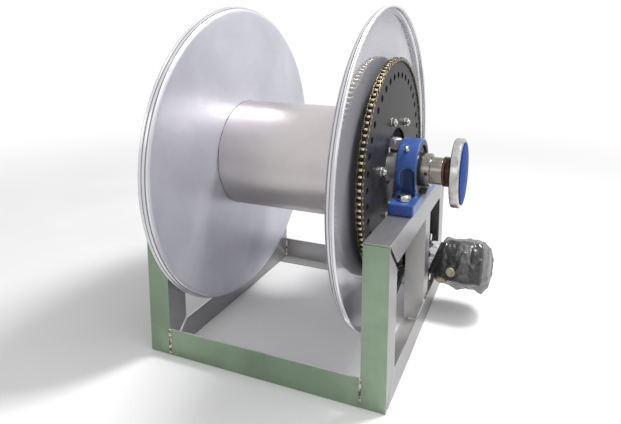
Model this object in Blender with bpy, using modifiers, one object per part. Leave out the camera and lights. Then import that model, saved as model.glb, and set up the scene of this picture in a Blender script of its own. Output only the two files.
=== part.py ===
"""Power-driven fire hose reel, as a Blender script. Metres, +Z up.

The drum lies along X, between two dished discs, and turns in two pillow-block bearings on an
open frame of folded angle. -Y is the front. +X is the drive side: a toothed plate and a roller
chain on the right disc, a hydraulic motor low in the right end frame, and the water inlet at
the end of the hollow shaft. Everything is laid out from the middle of the drum, and one parent
empty then shifts the whole reel so that its base is centred on the origin.
"""

import math

import bmesh
import bpy
from mathutils import Matrix, Vector

# Fits
GAP = 0.0003  # between two pieces that touch
DISC_STEPS = 48  # facets round a disc or the drum
FLANGE_STEPS = 28  # facets round the inlet flange
ROUND_STEPS = 20  # facets round a shaft-sized piece
SMALL_STEPS = 8  # facets round a fastener

# Drum and discs
AXIS_HEIGHT = 0.400
DISC_SPACING = 0.360  # between the discs' inner faces
DISC_RADIUS = 0.360
DISC_SHEET = 0.003
DISC_LIP = 0.018  # how far the rim turns outward
DISC_CORNER_RADIUS = 0.014
DISC_BEAD_RADIUS = 0.003
DRUM_RADIUS = 0.1288
DRUM_WALL = 0.003
HUB_FLANGE_RADIUS = 0.078
HUB_FLANGE_THICKNESS = 0.010
HUB_COLLAR_RADIUS = 0.043
HUB_COLLAR_LENGTH = 0.009  # beyond the disc

# Shafts
SHAFT_RADIUS = 0.03015
SHAFT_BORE_RADIUS = 0.0225
SHAFT_DEPTH_IN_DRUM = 0.070  # from the disc's inner face towards the middle
STUB_OVERHANG = 0.008  # the left shaft's end beyond its bearing
SHAFT_BEYOND_DISC = 0.137  # the plain part of the hollow shaft, from the right disc outward
SPIGOT_RADIUS = 0.0275
SPIGOT_LENGTH = 0.019

# Frame of folded angle
FRAME_HALF_DEPTH = 0.274
BEARING_HEIGHT = 0.073  # from the frame's top to the reel's axis
ANGLE_SHEET = 0.003
ANGLE_WIDTH = 0.051
ANGLE_DEPTH = 0.055
MITRE_HALF_SLIT = 0.005
RIGHT_FRAME_FROM_DISC = 0.0435  # from each disc to its frame's face at -X
LEFT_FRAME_FROM_DISC = 0.083
CROSS_RAIL_HEIGHT = 0.060
CROSS_RAIL_FLANGE = 0.042
MIDDLE_POST_Y = 0.057
MIDDLE_POST_DEPTH = 0.050

# Pillow-block bearings
RIGHT_BEARING_FROM_FRAME = 0.0275  # from each frame's face at -X to the bearing's middle
LEFT_BEARING_FROM_FRAME = 0.0255
HOUSING_WIDTH = 0.054
HOUSING_RING_RADIUS = 0.0685
HOUSING_FOOT_LENGTH = 0.236
HOUSING_FOOT_HEIGHT = 0.025
HOUSING_NECK_HALF = 0.062  # half the pedestal's depth where it meets the foot
POCKET_WIDTH = 0.030
POCKET_DEPTH = 0.008
OUTER_RACE_RADIUS = 0.055
OUTER_RACE_WIDTH = 0.026
OUTER_RACE_WALL = 0.0072
SHIELD_THICKNESS = 0.0012
INNER_RACE_RADIUS = 0.0373
INNER_RACE_SHORT = 0.0254  # from the bearing's middle to its narrow end
INNER_RACE_LONG = 0.0397
BALL_RADIUS = 0.0076
BALL_CLEARANCE = 0.0009
BALL_CIRCLE_RADIUS = 0.0425
BALL_COUNT = 9
CAGE_THICKNESS = 0.0016
CAGE_WIDTH = 0.0050
SET_SCREW_RADIUS = 0.004
SET_SCREW_FROM_END = 0.007
HOUSING_BOLT_Y = 0.086
HOUSING_BOLT_RADIUS = 0.008
HOUSING_BOLT_HEX = 0.012  # half the width across flats
HOUSING_BOLT_HEAD = 0.010
HOUSING_WASHER_RADIUS = 0.015
HOUSING_WASHER_THICKNESS = 0.0025
BOLT_HOLE_CLEARANCE = 0.001

# Chain drive
CHAIN_PITCH = 0.0127
CHAIN_LINKS = 128
CHAIN_PLATE_HEIGHT = 0.010
CHAIN_PLATE_THICKNESS = 0.0033
CHAIN_BAR_SHARE = 0.48  # of the pitch that a bar across the chain takes
CHAIN_BAR_CLEARANCE = 0.0005  # from a tooth's tip to the bars it turns under
CHAIN_FROM_DISC = 0.025
SPROCKET_THICKNESS = 0.0072
DRUM_SPROCKET_TEETH = 120
MOTOR_SPROCKET_TEETH = 15
TOOTH_TIP_INSET = 0.0025  # from the pitch circle in to a tooth's tip, which keeps under the bars
TOOTH_BASE_WIDTH = 0.0036
SPROCKET_HOLE_CIRCLE_RADIUS = 0.2076
SPROCKET_HOLE_RADIUS = 0.0075
SPROCKET_HOLE_COUNT = 40
SPROCKET_CENTRE_HOLE_RADIUS = 0.089
STUD_CIRCLE_RADIUS = 0.117
STUD_COUNT = 6
STUD_START_ANGLE = math.radians(52)
STUD_RADIUS = 0.005
STUD_BOSS_RADIUS = 0.011
STUD_NUT_HEX = 0.0085
STUD_NUT_HEIGHT = 0.008
STUD_THREAD_BEYOND_NUT = 0.0035

# Blowdown plug on the hollow shaft, and the outlet on the drum
PLUG_FROM_DISC = 0.0275
PLUG_STEM_RADIUS = 0.0090
PLUG_HEX = 0.0125
PLUG_HEX_FROM_AXIS = 0.042
PLUG_HEX_HEIGHT = 0.024
PLUG_SEAL_RADIUS = 0.0135
PLUG_SEAT_FROM_AXIS = 0.0345
OUTLET_DIRECTION = math.radians(-45)  # from +Y, in the YZ plane
OUTLET_RADIUS = 0.028
OUTLET_BORE_RADIUS = 0.0225
OUTLET_BEND_RADIUS = 0.048
OUTLET_HOLE_CLEARANCE = 0.001
OUTLET_COUPLING_RADIUS = 0.033
OUTLET_COUPLING_HEIGHT = 0.026

# Inlet swivel and flange
SWIVEL_RADIUS = 0.033
SWIVEL_LENGTH = 0.022
SWIVEL_SEAL_SECTION = 0.0018
SWIVEL_SEAL_WIDTH = 0.004
FLANGE_RADIUS = 0.0762
FLANGE_THICKNESS = 0.0200
FLANGE_EDGE_RADIUS = 0.003
FLANGE_BORE_RADIUS = 0.026
FLANGE_BOLT_CIRCLE_RADIUS = 0.06035
FLANGE_BOLT_HOLE_RADIUS = 0.0095
FLANGE_BOLT_COUNT = 4
CAP_RADIUS = 0.068
CAP_EDGE = 0.0022
CAP_DOME = 0.0028
CAP_PLUG_LENGTH = 0.008
CAP_PLUG_WALL = 0.0015

# Motor
MOTOR_DIRECTION = math.radians(-61)  # of the motor's axis from the reel's, from +Y
MOTOR_PLATE_FROM_FRAME = 0.0165  # from the right frame's face at -X
MOTOR_PLATE_THICKNESS = 0.008
MOTOR_PLATE_HALF_HEIGHT = 0.072
MOTOR_PILOT_RADIUS = 0.03785
MOTOR_PILOT_LENGTH = 0.006
MOTOR_FLANGE_THICKNESS = 0.010
MOTOR_FLANGE_EAR = 0.0532  # from the axis to a mounting bolt
MOTOR_EAR_HALF_WIDTH = 0.0125
MOTOR_FLANGE_RADIUS = 0.046
MOTOR_NECK_RADIUS = 0.0385
MOTOR_NECK_LENGTH = 0.0517
MOTOR_BODY_RADIUS = 0.050
MOTOR_BODY_LENGTH = 0.035
MOTOR_GEAR_RING_RADIUS = 0.0525
MOTOR_GEAR_RING_LENGTH = 0.027
MOTOR_COVER_LENGTH = 0.024
MOTOR_COVER_RADIUS = 0.050
MOTOR_SHAFT_RADIUS = 0.0125
MOTOR_SHAFT_IN = 0.045  # into the motor, behind its flange
MOTOR_SHAFT_BEYOND_HUB = 0.004
MOTOR_HUB_RADIUS = 0.020
MOTOR_HUB_LENGTH = 0.022
MOTOR_BOLT_RADIUS = 0.006
MOTOR_BOLT_HEX = 0.0095
MOTOR_BOLT_HEAD = 0.008
MOTOR_WASHER_RADIUS = 0.0112
MOTOR_WASHER_THICKNESS = 0.0016
PORT_BOSS_RADIUS = 0.015
PORT_BOSS_HEIGHT = 0.006  # beyond the motor's body
PORT_PLUG_RADIUS = 0.012
PORT_PLUG_HEAD = 0.0045
PORT_PLUG_STEM_RADIUS = 0.009
PORT_PLUG_STEM_LENGTH = 0.010
PORTS = ((0.0547, math.radians(-142)), (0.0802, math.radians(-175)))  # from the face, and round the body

# Film bag on the motor, gathered round its neck by a leaning tie
FILM_THICKNESS = 0.001
FILM_TAIL_FROM_PLATE = 0.0345  # from the motor plate's face at -X
FILM_TAIL_RADIUS = 0.0408
FILM_NECK_LENGTH = 0.0115
FILM_SWELL_Y = 0.0670
FILM_SWELL_Z = 0.0670
FILM_LENGTH = 0.1505  # from the tail's edge to the closed end
FILM_END_RADIUS = 0.028
TIE_FROM_TAIL = 0.003
TIE_THICKNESS = 0.0018
TIE_WIDTH = 0.0080
TIE_LEAN = math.tan(math.radians(20))

FRAME_TOP = AXIS_HEIGHT - BEARING_HEIGHT
DISC_INNER_X = DISC_SPACING / 2
RIGHT_FRAME_X = DISC_INNER_X + RIGHT_FRAME_FROM_DISC
LEFT_FRAME_X = -DISC_INNER_X - LEFT_FRAME_FROM_DISC
RIGHT_BEARING_X = RIGHT_FRAME_X + RIGHT_BEARING_FROM_FRAME
LEFT_BEARING_X = LEFT_FRAME_X + LEFT_BEARING_FROM_FRAME
CHAIN_X = DISC_INNER_X + CHAIN_FROM_DISC
PLUG_X = DISC_INNER_X + PLUG_FROM_DISC
MOTOR_PLATE_X = RIGHT_FRAME_X + MOTOR_PLATE_FROM_FRAME
FILM_TAIL_X = MOTOR_PLATE_X + FILM_TAIL_FROM_PLATE
SHAFT_END_X = DISC_INNER_X + SHAFT_BEYOND_DISC
DISC_OUTER_X = DISC_INNER_X + DISC_SHEET
SPROCKET_BACK_X = CHAIN_X - SPROCKET_THICKNESS / 2
SPROCKET_FACE_X = CHAIN_X + SPROCKET_THICKNESS / 2
CHAIN_PLATE_INNER = SPROCKET_THICKNESS / 2 + GAP
FLANGE_X = SHAFT_END_X + SWIVEL_LENGTH + 2 * GAP
MOTOR_FACE_X = MOTOR_PLATE_X + MOTOR_PLATE_THICKNESS + GAP
STUB_END_X = LEFT_BEARING_X - INNER_RACE_LONG - STUB_OVERHANG
REEL_CENTRE_X = (STUB_END_X + FILM_TAIL_X + FILM_LENGTH) / 2


# ---------------------------------------------------------------- scene and materials


def clear_scene():
    for obj in list(bpy.data.objects):
        bpy.data.objects.remove(obj, do_unlink=True)


def new_collection(name):
    collection = bpy.data.collections.new(name)
    bpy.context.scene.collection.children.link(collection)
    return collection


def new_material(name, colour, roughness, metallic):
    material = bpy.data.materials.new(name)
    material.use_nodes = True
    shader = material.node_tree.nodes["Principled BSDF"]
    shader.inputs["Base Color"].default_value = (*colour, 1)
    shader.inputs["Roughness"].default_value = roughness
    shader.inputs["Metallic"].default_value = metallic
    material.diffuse_color = (*colour, 1)
    return material


def new_empty(name, location, parent=None):
    empty = bpy.data.objects.new(name, None)
    empty.location = location
    empty.parent = parent
    parts.objects.link(empty)
    return empty


clear_scene()
parts = new_collection("hose_reel")
cutters = new_collection("cutters")

SATIN_STEEL = new_material("satin_stainless", (0.62, 0.61, 0.63), 0.34, 1.0)
BRUSHED_STEEL = new_material("brushed_stainless", (0.58, 0.58, 0.56), 0.42, 1.0)
MACHINED_STEEL = new_material("machined_steel", (0.60, 0.59, 0.57), 0.25, 1.0)
BEARING_STEEL = new_material("bearing_steel", (0.55, 0.55, 0.56), 0.18, 1.0)
BLACK_PLATE = new_material("blackened_plate", (0.10, 0.095, 0.095), 0.45, 0.6)
CHAIN_STEEL = new_material("bronzed_chain", (0.42, 0.33, 0.20), 0.28, 1.0)
ZINC = new_material("zinc_plated", (0.66, 0.66, 0.60), 0.25, 1.0)
BLUE_CASTING = new_material("blue_painted_casting", (0.07, 0.13, 0.42), 0.40, 0.0)
BLUE_PLASTIC = new_material("blue_plastic_cap", (0.08, 0.16, 0.62), 0.22, 0.0)
BLUED_STEEL = new_material("heat_blued_steel", (0.09, 0.055, 0.045), 0.30, 0.9)
BLACK_IRON = new_material("black_cast_iron", (0.03, 0.03, 0.03), 0.40, 0.2)
RUBBER = new_material("black_rubber", (0.02, 0.02, 0.02), 0.60, 0.0)
YELLOW_PLASTIC = new_material("yellow_port_plug", (0.45, 0.42, 0.25), 0.45, 0.0)
FILM = new_material("clear_film", (0.62, 0.63, 0.66), 0.20, 0.0)
NYLON = new_material("black_nylon", (0.015, 0.015, 0.015), 0.45, 0.0)

# Parents: the whole reel, and an empty on each joint's axis
reel_frame = new_empty("reel_frame", (-REEL_CENTRE_X, 0, 0))
reel_axis = new_empty("reel_axis", (0, 0, AXIS_HEIGHT), reel_frame)
swivel_axis = new_empty("swivel_axis", (FLANGE_X, 0, AXIS_HEIGHT), reel_frame)


# ---------------------------------------------------------------- modelling tools


def link(name, data, material, parent, location=(0, 0, 0), rotation=(0, 0, 0)):
    obj = bpy.data.objects.new(name, data)
    obj.location = location
    obj.rotation_euler = rotation
    obj.parent = parent
    data.materials.clear()
    data.materials.append(material)
    parts.objects.link(obj)
    return obj


def baked_mesh(obj):
    """A plain mesh of the object as its modifiers or curve settings leave it, with its seams welded."""
    graph = bpy.context.evaluated_depsgraph_get()
    mesh = bpy.data.meshes.new_from_object(obj.evaluated_get(graph))
    mesh.name = obj.name
    bm = bmesh.new()
    bm.from_mesh(mesh)
    bmesh.ops.remove_doubles(bm, verts=bm.verts, dist=1e-6)
    bmesh.ops.recalc_face_normals(bm, faces=bm.faces)
    bm.to_mesh(mesh)
    bm.free()
    return mesh


def scratch(data):
    """A helper object with this mesh or curve, hidden from renders."""
    obj = bpy.data.objects.new("scratch", data)
    obj.hide_render = True
    obj.display_type = "WIRE"
    cutters.objects.link(obj)
    return obj


def boolean(mesh, operation, other):
    """This mesh joined with, or cut by, another one."""
    subject, tool = scratch(mesh), scratch(other)
    modifier = subject.modifiers.new(operation.lower(), "BOOLEAN")
    modifier.operation = operation
    modifier.object = tool
    result = baked_mesh(subject)
    bpy.data.objects.remove(subject)
    bpy.data.objects.remove(tool)
    return result


def joined(first, *others):
    for other in others:
        first = boolean(first, "UNION", other)
    return first


def cut(mesh, *tools):
    for tool in tools:
        mesh = boolean(mesh, "DIFFERENCE", tool)
    return mesh


def moved(mesh, offset=(0, 0, 0), turn=0.0, about="X"):
    """The mesh turned about an axis through its origin, and then shifted."""
    mesh.transform(Matrix.Translation(offset) @ Matrix.Rotation(turn, 4, about))
    return mesh


def smoothed(mesh, degrees=35):
    mesh.shade_smooth()
    mesh.set_sharp_from_angle(angle=math.radians(degrees))
    return mesh


def mesh_of(bm, name="shape"):
    bmesh.ops.recalc_face_normals(bm, faces=bm.faces)
    mesh = bpy.data.meshes.new(name)
    bm.to_mesh(mesh)
    bm.free()
    return mesh


def box(low, high):
    bm = bmesh.new()
    bmesh.ops.create_cube(bm, size=1)
    size = Vector(high) - Vector(low)
    bmesh.ops.scale(bm, vec=size, verts=bm.verts)
    bmesh.ops.translate(bm, vec=(Vector(low) + Vector(high)) / 2, verts=bm.verts)
    return mesh_of(bm)


def rod(radius, x_from, x_to, steps=SMALL_STEPS, turn=0.0):
    """A cylinder along X. Its hexagonal kind has 6 steps."""
    bm = bmesh.new()
    bmesh.ops.create_cone(
        bm, cap_ends=True, segments=steps, radius1=radius, radius2=radius, depth=x_to - x_from
    )
    stand = Matrix.Rotation(turn, 4, "X") @ Matrix.Rotation(math.radians(90), 4, "Y")
    bmesh.ops.transform(bm, matrix=stand, verts=bm.verts)
    bmesh.ops.translate(bm, vec=((x_from + x_to) / 2, 0, 0), verts=bm.verts)
    return mesh_of(bm)


def hexagon(half_flats, x_from, x_to):
    """A hexagonal bar along X, with flats facing up and down."""
    return rod(half_flats / math.cos(math.radians(30)), x_from, x_to, steps=6, turn=math.radians(30))


def turned(profile, steps=ROUND_STEPS, closed=True):
    """A solid turned about X from (x, radius) points; an open profile starts and ends on the axis."""
    area = sum(a[0] * b[1] - b[0] * a[1] for a, b in zip(profile, profile[1:] + profile[:1]))
    points = profile if area > 0 else profile[::-1]
    count = len(points)
    edges = [(i, (i + 1) % count) for i in range(count if closed else count - 1)]
    mesh = bpy.data.meshes.new("profile")
    mesh.from_pydata([(x, radius, 0) for x, radius in points], edges, [])
    obj = scratch(mesh)
    screw = obj.modifiers.new("turn", "SCREW")
    screw.axis = "X"
    screw.steps = steps
    screw.render_steps = steps
    screw.use_merge_vertices = True
    screw.merge_threshold = 1e-6
    result = baked_mesh(obj)
    bpy.data.objects.remove(obj)
    return smoothed(result)


def tube(x_from, x_to, outer, inner, steps=ROUND_STEPS):
    return turned([(x_from, inner), (x_from, outer), (x_to, outer), (x_to, inner)], steps)


def circle_points(radius, count, centre=(0, 0), start=0.0, sweep=2 * math.pi, ends=False):
    """Points round an arc; a full circle leaves out its last point."""
    spaces = count - 1 if ends else count
    angles = [start + sweep * i / spaces for i in range(count)]
    return [(centre[0] + radius * math.cos(a), centre[1] + radius * math.sin(a)) for a in angles]


def plate(outlines, x_from, x_to):
    """A flat plate across X, from (y, z) outlines: the outside first, and then its holes."""
    curve = bpy.data.curves.new("outline", "CURVE")
    curve.dimensions = "2D"
    curve.fill_mode = "BOTH"
    curve.extrude = (x_to - x_from) / 2
    for outline in outlines:
        spline = curve.splines.new("POLY")
        spline.points.add(len(outline) - 1)
        for point, (y, z) in zip(spline.points, outline):
            point.co = (y, z, 0, 1)
        spline.use_cyclic_u = True
    obj = scratch(curve)
    mesh = baked_mesh(obj)
    bpy.data.objects.remove(obj)
    # The curve lies in its own XY plane: X becomes the reel's Y, and Y its Z.
    upright = Matrix(((0, 0, 1, (x_from + x_to) / 2), (1, 0, 0, 0), (0, 1, 0, 0), (0, 0, 0, 1)))
    mesh.transform(upright)
    return mesh


# ---------------------------------------------------------------- frame


def angle_bar(start, depth_axis, along_axis, length, setback=0.0, slope=0.0):
    """A folded angle. Its first leg runs from the start towards -X and along its length. The
    second leg stands on it at the start's X, reaching along depth_axis; its ends stand back by
    setback and are cut at a slope, which leaves an open slit at a mitred corner."""
    bm = bmesh.new()
    bmesh.ops.create_cube(bm, size=1)
    bmesh.ops.scale(bm, vec=(ANGLE_WIDTH, ANGLE_SHEET, length), verts=bm.verts)
    bmesh.ops.translate(bm, vec=(-ANGLE_WIDTH / 2, ANGLE_SHEET / 2, length / 2), verts=bm.verts)
    splits = [((-ANGLE_SHEET, 0, 0), (1, 0, 0))]
    if setback:
        splits += [((0, 0, setback), (0, 0, 1)), ((0, 0, length - setback), (0, 0, 1))]
    for point, normal in splits:
        everything = bm.verts[:] + bm.edges[:] + bm.faces[:]
        bmesh.ops.bisect_plane(bm, geom=everything, plane_co=point, plane_no=normal)
    root = [
        face
        for face in bm.faces
        if abs(face.calc_center_median().y - ANGLE_SHEET) < 1e-7
        and face.calc_center_median().x > -ANGLE_SHEET
        and setback <= face.calc_center_median().z <= length - setback
    ]
    drawn = bmesh.ops.extrude_face_region(bm, geom=root)["geom"]
    tips = [item for item in drawn if isinstance(item, bmesh.types.BMVert)]
    reach = ANGLE_DEPTH - ANGLE_SHEET
    for vert in tips:
        vert.co.y += reach
        vert.co.z += slope * reach * (1 if vert.co.z < length / 2 else -1)
    bmesh.ops.delete(bm, geom=root, context="FACES_ONLY")
    depth, along = Vector(depth_axis), Vector(along_axis)
    place = Matrix(
        [[1, depth.x, along.x, start[0]], [0, depth.y, along.y, start[1]],
         [0, depth.z, along.z, start[2]], [0, 0, 0, 1]]
    )
    bmesh.ops.transform(bm, matrix=place, verts=bm.verts)
    return mesh_of(bm)


def end_frame(side, x_low, bearing_x):
    """A ring of four angles, mitred at the corners, in the YZ plane. Its side legs face +X."""
    x = x_low + ANGLE_WIDTH
    front, back = -FRAME_HALF_DEPTH, FRAME_HALF_DEPTH
    inset = ANGLE_SHEET + GAP
    setback = ANGLE_SHEET + MITRE_HALF_SLIT
    up, forward, rearward = (0, 0, 1), (0, 1, 0), (0, -1, 0)
    post_length = FRAME_TOP - inset
    rail_length = 2 * (FRAME_HALF_DEPTH - inset)
    bottom = angle_bar(
        (x, front + inset, 0), up, forward, rail_length, setback - inset, slope=1
    )
    top = angle_bar(
        (x, front, FRAME_TOP), (0, 0, -1), forward, 2 * FRAME_HALF_DEPTH, setback, slope=1
    )
    holes = [
        moved(
            rod(HOUSING_BOLT_RADIUS + BOLT_HOLE_CLEARANCE, -ANGLE_SHEET, ANGLE_SHEET),
            (bearing_x, y, FRAME_TOP - ANGLE_SHEET / 2), math.radians(90), "Y",
        )
        for y in (-HOUSING_BOLT_Y, HOUSING_BOLT_Y)
    ]
    post = angle_bar((x, front, 0), forward, up, post_length, setback, slope=1)
    rear = angle_bar((x, back, 0), rearward, up, post_length, setback, slope=1)
    link(f"{side}_front_post", post, BRUSHED_STEEL, reel_frame)
    link(f"{side}_rear_post", rear, BRUSHED_STEEL, reel_frame)
    link(f"{side}_bottom_rail", bottom, BRUSHED_STEEL, reel_frame)
    link(f"{side}_top_beam", cut(top, *holes), BRUSHED_STEEL, reel_frame)


def cross_rail(name, y, inward):
    """An angle between the two end frames: an upright web at y, and a flange on the floor."""
    x_from = LEFT_FRAME_X + ANGLE_WIDTH + GAP
    x_to = RIGHT_FRAME_X - GAP
    section = [
        (y, 0),
        (y, CROSS_RAIL_HEIGHT),
        (y + inward * ANGLE_SHEET, CROSS_RAIL_HEIGHT),
        (y + inward * ANGLE_SHEET, ANGLE_SHEET),
        (y + inward * CROSS_RAIL_FLANGE, ANGLE_SHEET),
        (y + inward * CROSS_RAIL_FLANGE, 0),
    ]
    link(name, plate([section], x_from, x_to), BRUSHED_STEEL, reel_frame)


def middle_post():
    """The upright that carries the motor plate's front edge, inside the right end frame."""
    x_to = RIGHT_FRAME_X + ANGLE_WIDTH - ANGLE_SHEET - GAP
    x_from = RIGHT_FRAME_X
    y, depth = MIDDLE_POST_Y, MIDDLE_POST_DEPTH
    section = [
        (x_from, y),
        (x_to, y),
        (x_to, y + depth),
        (x_to - ANGLE_SHEET, y + depth),
        (x_to - ANGLE_SHEET, y + ANGLE_SHEET),
        (x_from, y + ANGLE_SHEET),
    ]
    foot, head = ANGLE_SHEET + GAP, FRAME_TOP - ANGLE_SHEET - GAP
    mesh = plate([section], foot, head)
    # The section was drawn across X: its (y, z) are the frame's (x, y), and its X is upward.
    mesh.transform(Matrix(((0, 1, 0, 0), (0, 0, 1, 0), (1, 0, 0, 0), (0, 0, 0, 1))))
    link("right_middle_post", mesh, BRUSHED_STEEL, reel_frame)


# ---------------------------------------------------------------- bearings


def hex_bolt(radius, hex_half, head, grip_from, grip_to, washer_radius, washer, beyond):
    """A bolt along X with its head beyond grip_to, its nut before grip_from, and both washers."""
    low, high = grip_from - GAP, grip_to + GAP
    shank = rod(radius, low - washer - head - beyond, high + washer + head / 2)
    overlap = head / 10
    return joined(
        shank,
        rod(washer_radius, high, high + washer, steps=12),
        rod(washer_radius, low - washer, low, steps=12),
        hexagon(hex_half, high + washer - overlap * washer, high + washer + head),
        hexagon(hex_half, low - washer - head, low - washer + overlap * washer),
    )


def housing_outline():
    """The pillow block from the end, as (y, z) from the axis: a ring on a pedestal and a foot."""
    foot_top = HOUSING_FOOT_HEIGHT - BEARING_HEIGHT
    foot_bottom = GAP - BEARING_HEIGHT
    lowest = math.radians(-32)  # where the ring's side leaves the circle
    ring = circle_points(
        HOUSING_RING_RADIUS, 15, start=lowest, sweep=math.pi - 2 * lowest, ends=True
    )
    half_foot = HOUSING_FOOT_LENGTH / 2
    right = [(half_foot, foot_bottom), (half_foot, foot_top), (HOUSING_NECK_HALF, foot_top)]
    return right + ring + [(-y, z) for y, z in reversed(right)]


def bearing(side, x, outward):
    """A pillow block with its ball bearing; outward is the way its long inner ring points."""
    place = (x, 0, AXIS_HEIGHT)
    half = HOUSING_WIDTH / 2
    bore = circle_points(OUTER_RACE_RADIUS + GAP, ROUND_STEPS)
    body = plate([housing_outline(), bore], -half, half)
    foot_top = HOUSING_FOOT_HEIGHT - BEARING_HEIGHT
    tools = []
    for front in (-1, 1):
        inner, outer = HOUSING_RING_RADIUS - POCKET_DEPTH, 2 * HOUSING_RING_RADIUS
        low_y, high_y = sorted((front * inner, front * outer))
        arch = moved(rod(POCKET_WIDTH / 2, low_y, high_y, 12), turn=math.radians(90), about="Z")
        trough = box((-POCKET_WIDTH / 2, low_y, foot_top), (POCKET_WIDTH / 2, high_y, 0))
        tools.append(joined(trough, arch))
        hole = rod(HOUSING_BOLT_RADIUS + BOLT_HOLE_CLEARANCE, -BEARING_HEIGHT, BEARING_HEIGHT)
        tools.append(moved(hole, (0, front * HOUSING_BOLT_Y, 0), math.radians(90), "Y"))
    body = cut(body, *tools)
    link(f"{side}_bearing_housing", smoothed(body), BLUE_CASTING, reel_frame, place)

    half = OUTER_RACE_WIDTH / 2
    land = OUTER_RACE_RADIUS - OUTER_RACE_WALL
    track_radius = BALL_RADIUS + BALL_CLEARANCE
    groove = BALL_CIRCLE_RADIUS + track_radius
    groove_mouth, groove_floor = 0.81 * track_radius, 0.49 * track_radius
    lip = INNER_RACE_RADIUS + 3 * GAP
    inside = half - SHIELD_THICKNESS
    outer_race = [
        (-half, OUTER_RACE_RADIUS), (half, OUTER_RACE_RADIUS), (half, lip), (inside, lip),
        (inside, land), (groove_mouth, land), (groove_floor, groove), (-groove_floor, groove),
        (-groove_mouth, land), (-inside, land), (-inside, lip), (-half, lip),
    ]
    link(f"{side}_outer_race", turned(outer_race), BEARING_STEEL, reel_frame, place)

    track = BALL_CIRCLE_RADIUS - track_radius
    bore_radius = SHAFT_RADIUS + GAP
    ends = sorted((-outward * INNER_RACE_SHORT, outward * INNER_RACE_LONG))
    inner_race = [
        (ends[0], bore_radius), (ends[0], INNER_RACE_RADIUS),
        (-groove_mouth, INNER_RACE_RADIUS), (-groove_floor, track), (groove_floor, track),
        (groove_mouth, INNER_RACE_RADIUS),
        (ends[1], INNER_RACE_RADIUS), (ends[1], bore_radius),
    ]
    screw_x = outward * (INNER_RACE_LONG - SET_SCREW_FROM_END)
    screw_hole = rod(SET_SCREW_RADIUS + GAP, 0, 2 * INNER_RACE_RADIUS)
    towards_front = dict(turn=math.radians(-90), about="Z")
    race = cut(turned(inner_race), moved(screw_hole, (screw_x, 0, 0), **towards_front))
    link(f"{side}_inner_race", smoothed(race), BEARING_STEEL, reel_axis, (x, 0, 0))
    screw = rod(SET_SCREW_RADIUS, SHAFT_RADIUS + GAP, INNER_RACE_RADIUS)
    moved(screw, (screw_x, 0, 0), **towards_front)
    link(f"{side}_set_screw", screw, BLACK_IRON, reel_axis, (x, 0, 0))

    cage = tube(
        -CAGE_WIDTH / 2, CAGE_WIDTH / 2,
        BALL_CIRCLE_RADIUS + CAGE_THICKNESS / 2, BALL_CIRCLE_RADIUS - CAGE_THICKNESS / 2,
    )
    bm = bmesh.new()
    for i in range(BALL_COUNT):
        angle = 2 * math.pi * (i + 0.5) / BALL_COUNT
        centre = (0, BALL_CIRCLE_RADIUS * math.cos(angle), BALL_CIRCLE_RADIUS * math.sin(angle))
        bmesh.ops.create_icosphere(
            bm, subdivisions=1, radius=BALL_RADIUS, matrix=Matrix.Translation(centre)
        )
    cage = joined(cage, mesh_of(bm))
    link(f"{side}_ball_cage", smoothed(cage), BEARING_STEEL, reel_frame, place)

    bolt = hex_bolt(
        HOUSING_BOLT_RADIUS, HOUSING_BOLT_HEX, HOUSING_BOLT_HEAD,
        -ANGLE_SHEET, HOUSING_FOOT_HEIGHT,
        HOUSING_WASHER_RADIUS, HOUSING_WASHER_THICKNESS, HOUSING_BOLT_RADIUS / 2,
    )
    for end, y in (("front", -HOUSING_BOLT_Y), ("rear", HOUSING_BOLT_Y)):
        upright = (0, math.radians(-90), 0)
        link(f"{side}_bearing_bolt_{end}", bolt, ZINC, reel_frame, (x, y, FRAME_TOP), upright)


# ---------------------------------------------------------------- drum, discs and shafts


def disc(name, side):
    """A dished disc: a flat sheet whose rim is turned outward and ends in a rolled bead."""
    rim = DISC_RADIUS - DISC_BEAD_RADIUS + DISC_SHEET / 2
    bend = DISC_CORNER_RADIUS
    lip_end = DISC_LIP
    outer_arc = circle_points(bend, 3, (bend, rim - bend), math.pi, -math.pi / 2, ends=True)
    inner_arc = circle_points(
        bend - DISC_SHEET, 2, (bend, rim - bend), math.pi / 2, math.pi / 2, ends=True
    )
    bead = circle_points(
        DISC_BEAD_RADIUS, 4, (lip_end, DISC_RADIUS - DISC_BEAD_RADIUS),
        math.radians(90), math.radians(-220), ends=True,
    )
    hole = HUB_COLLAR_RADIUS + GAP
    profile = [(0, hole)] + outer_arc + bead + inner_arc + [(DISC_SHEET, hole)]
    mesh = turned([(side * (DISC_INNER_X + x), radius) for x, radius in profile], DISC_STEPS)
    link(name, mesh, SATIN_STEEL, reel_axis)


def hub(name, side):
    """A flange against the disc's inner face, with a collar through it onto the shaft."""
    bore = SHAFT_RADIUS + GAP
    face = DISC_INNER_X - GAP
    back = face - HUB_FLANGE_THICKNESS
    end = DISC_OUTER_X + HUB_COLLAR_LENGTH
    profile = [
        (back, bore), (back, HUB_FLANGE_RADIUS), (face, HUB_FLANGE_RADIUS),
        (face, HUB_COLLAR_RADIUS), (end, HUB_COLLAR_RADIUS), (end, bore),
    ]
    link(name, turned([(side * x, r) for x, r in profile]), MACHINED_STEEL, reel_axis)


def outlet_vector():
    return Vector((0, math.cos(OUTLET_DIRECTION), math.sin(OUTLET_DIRECTION)))


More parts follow.
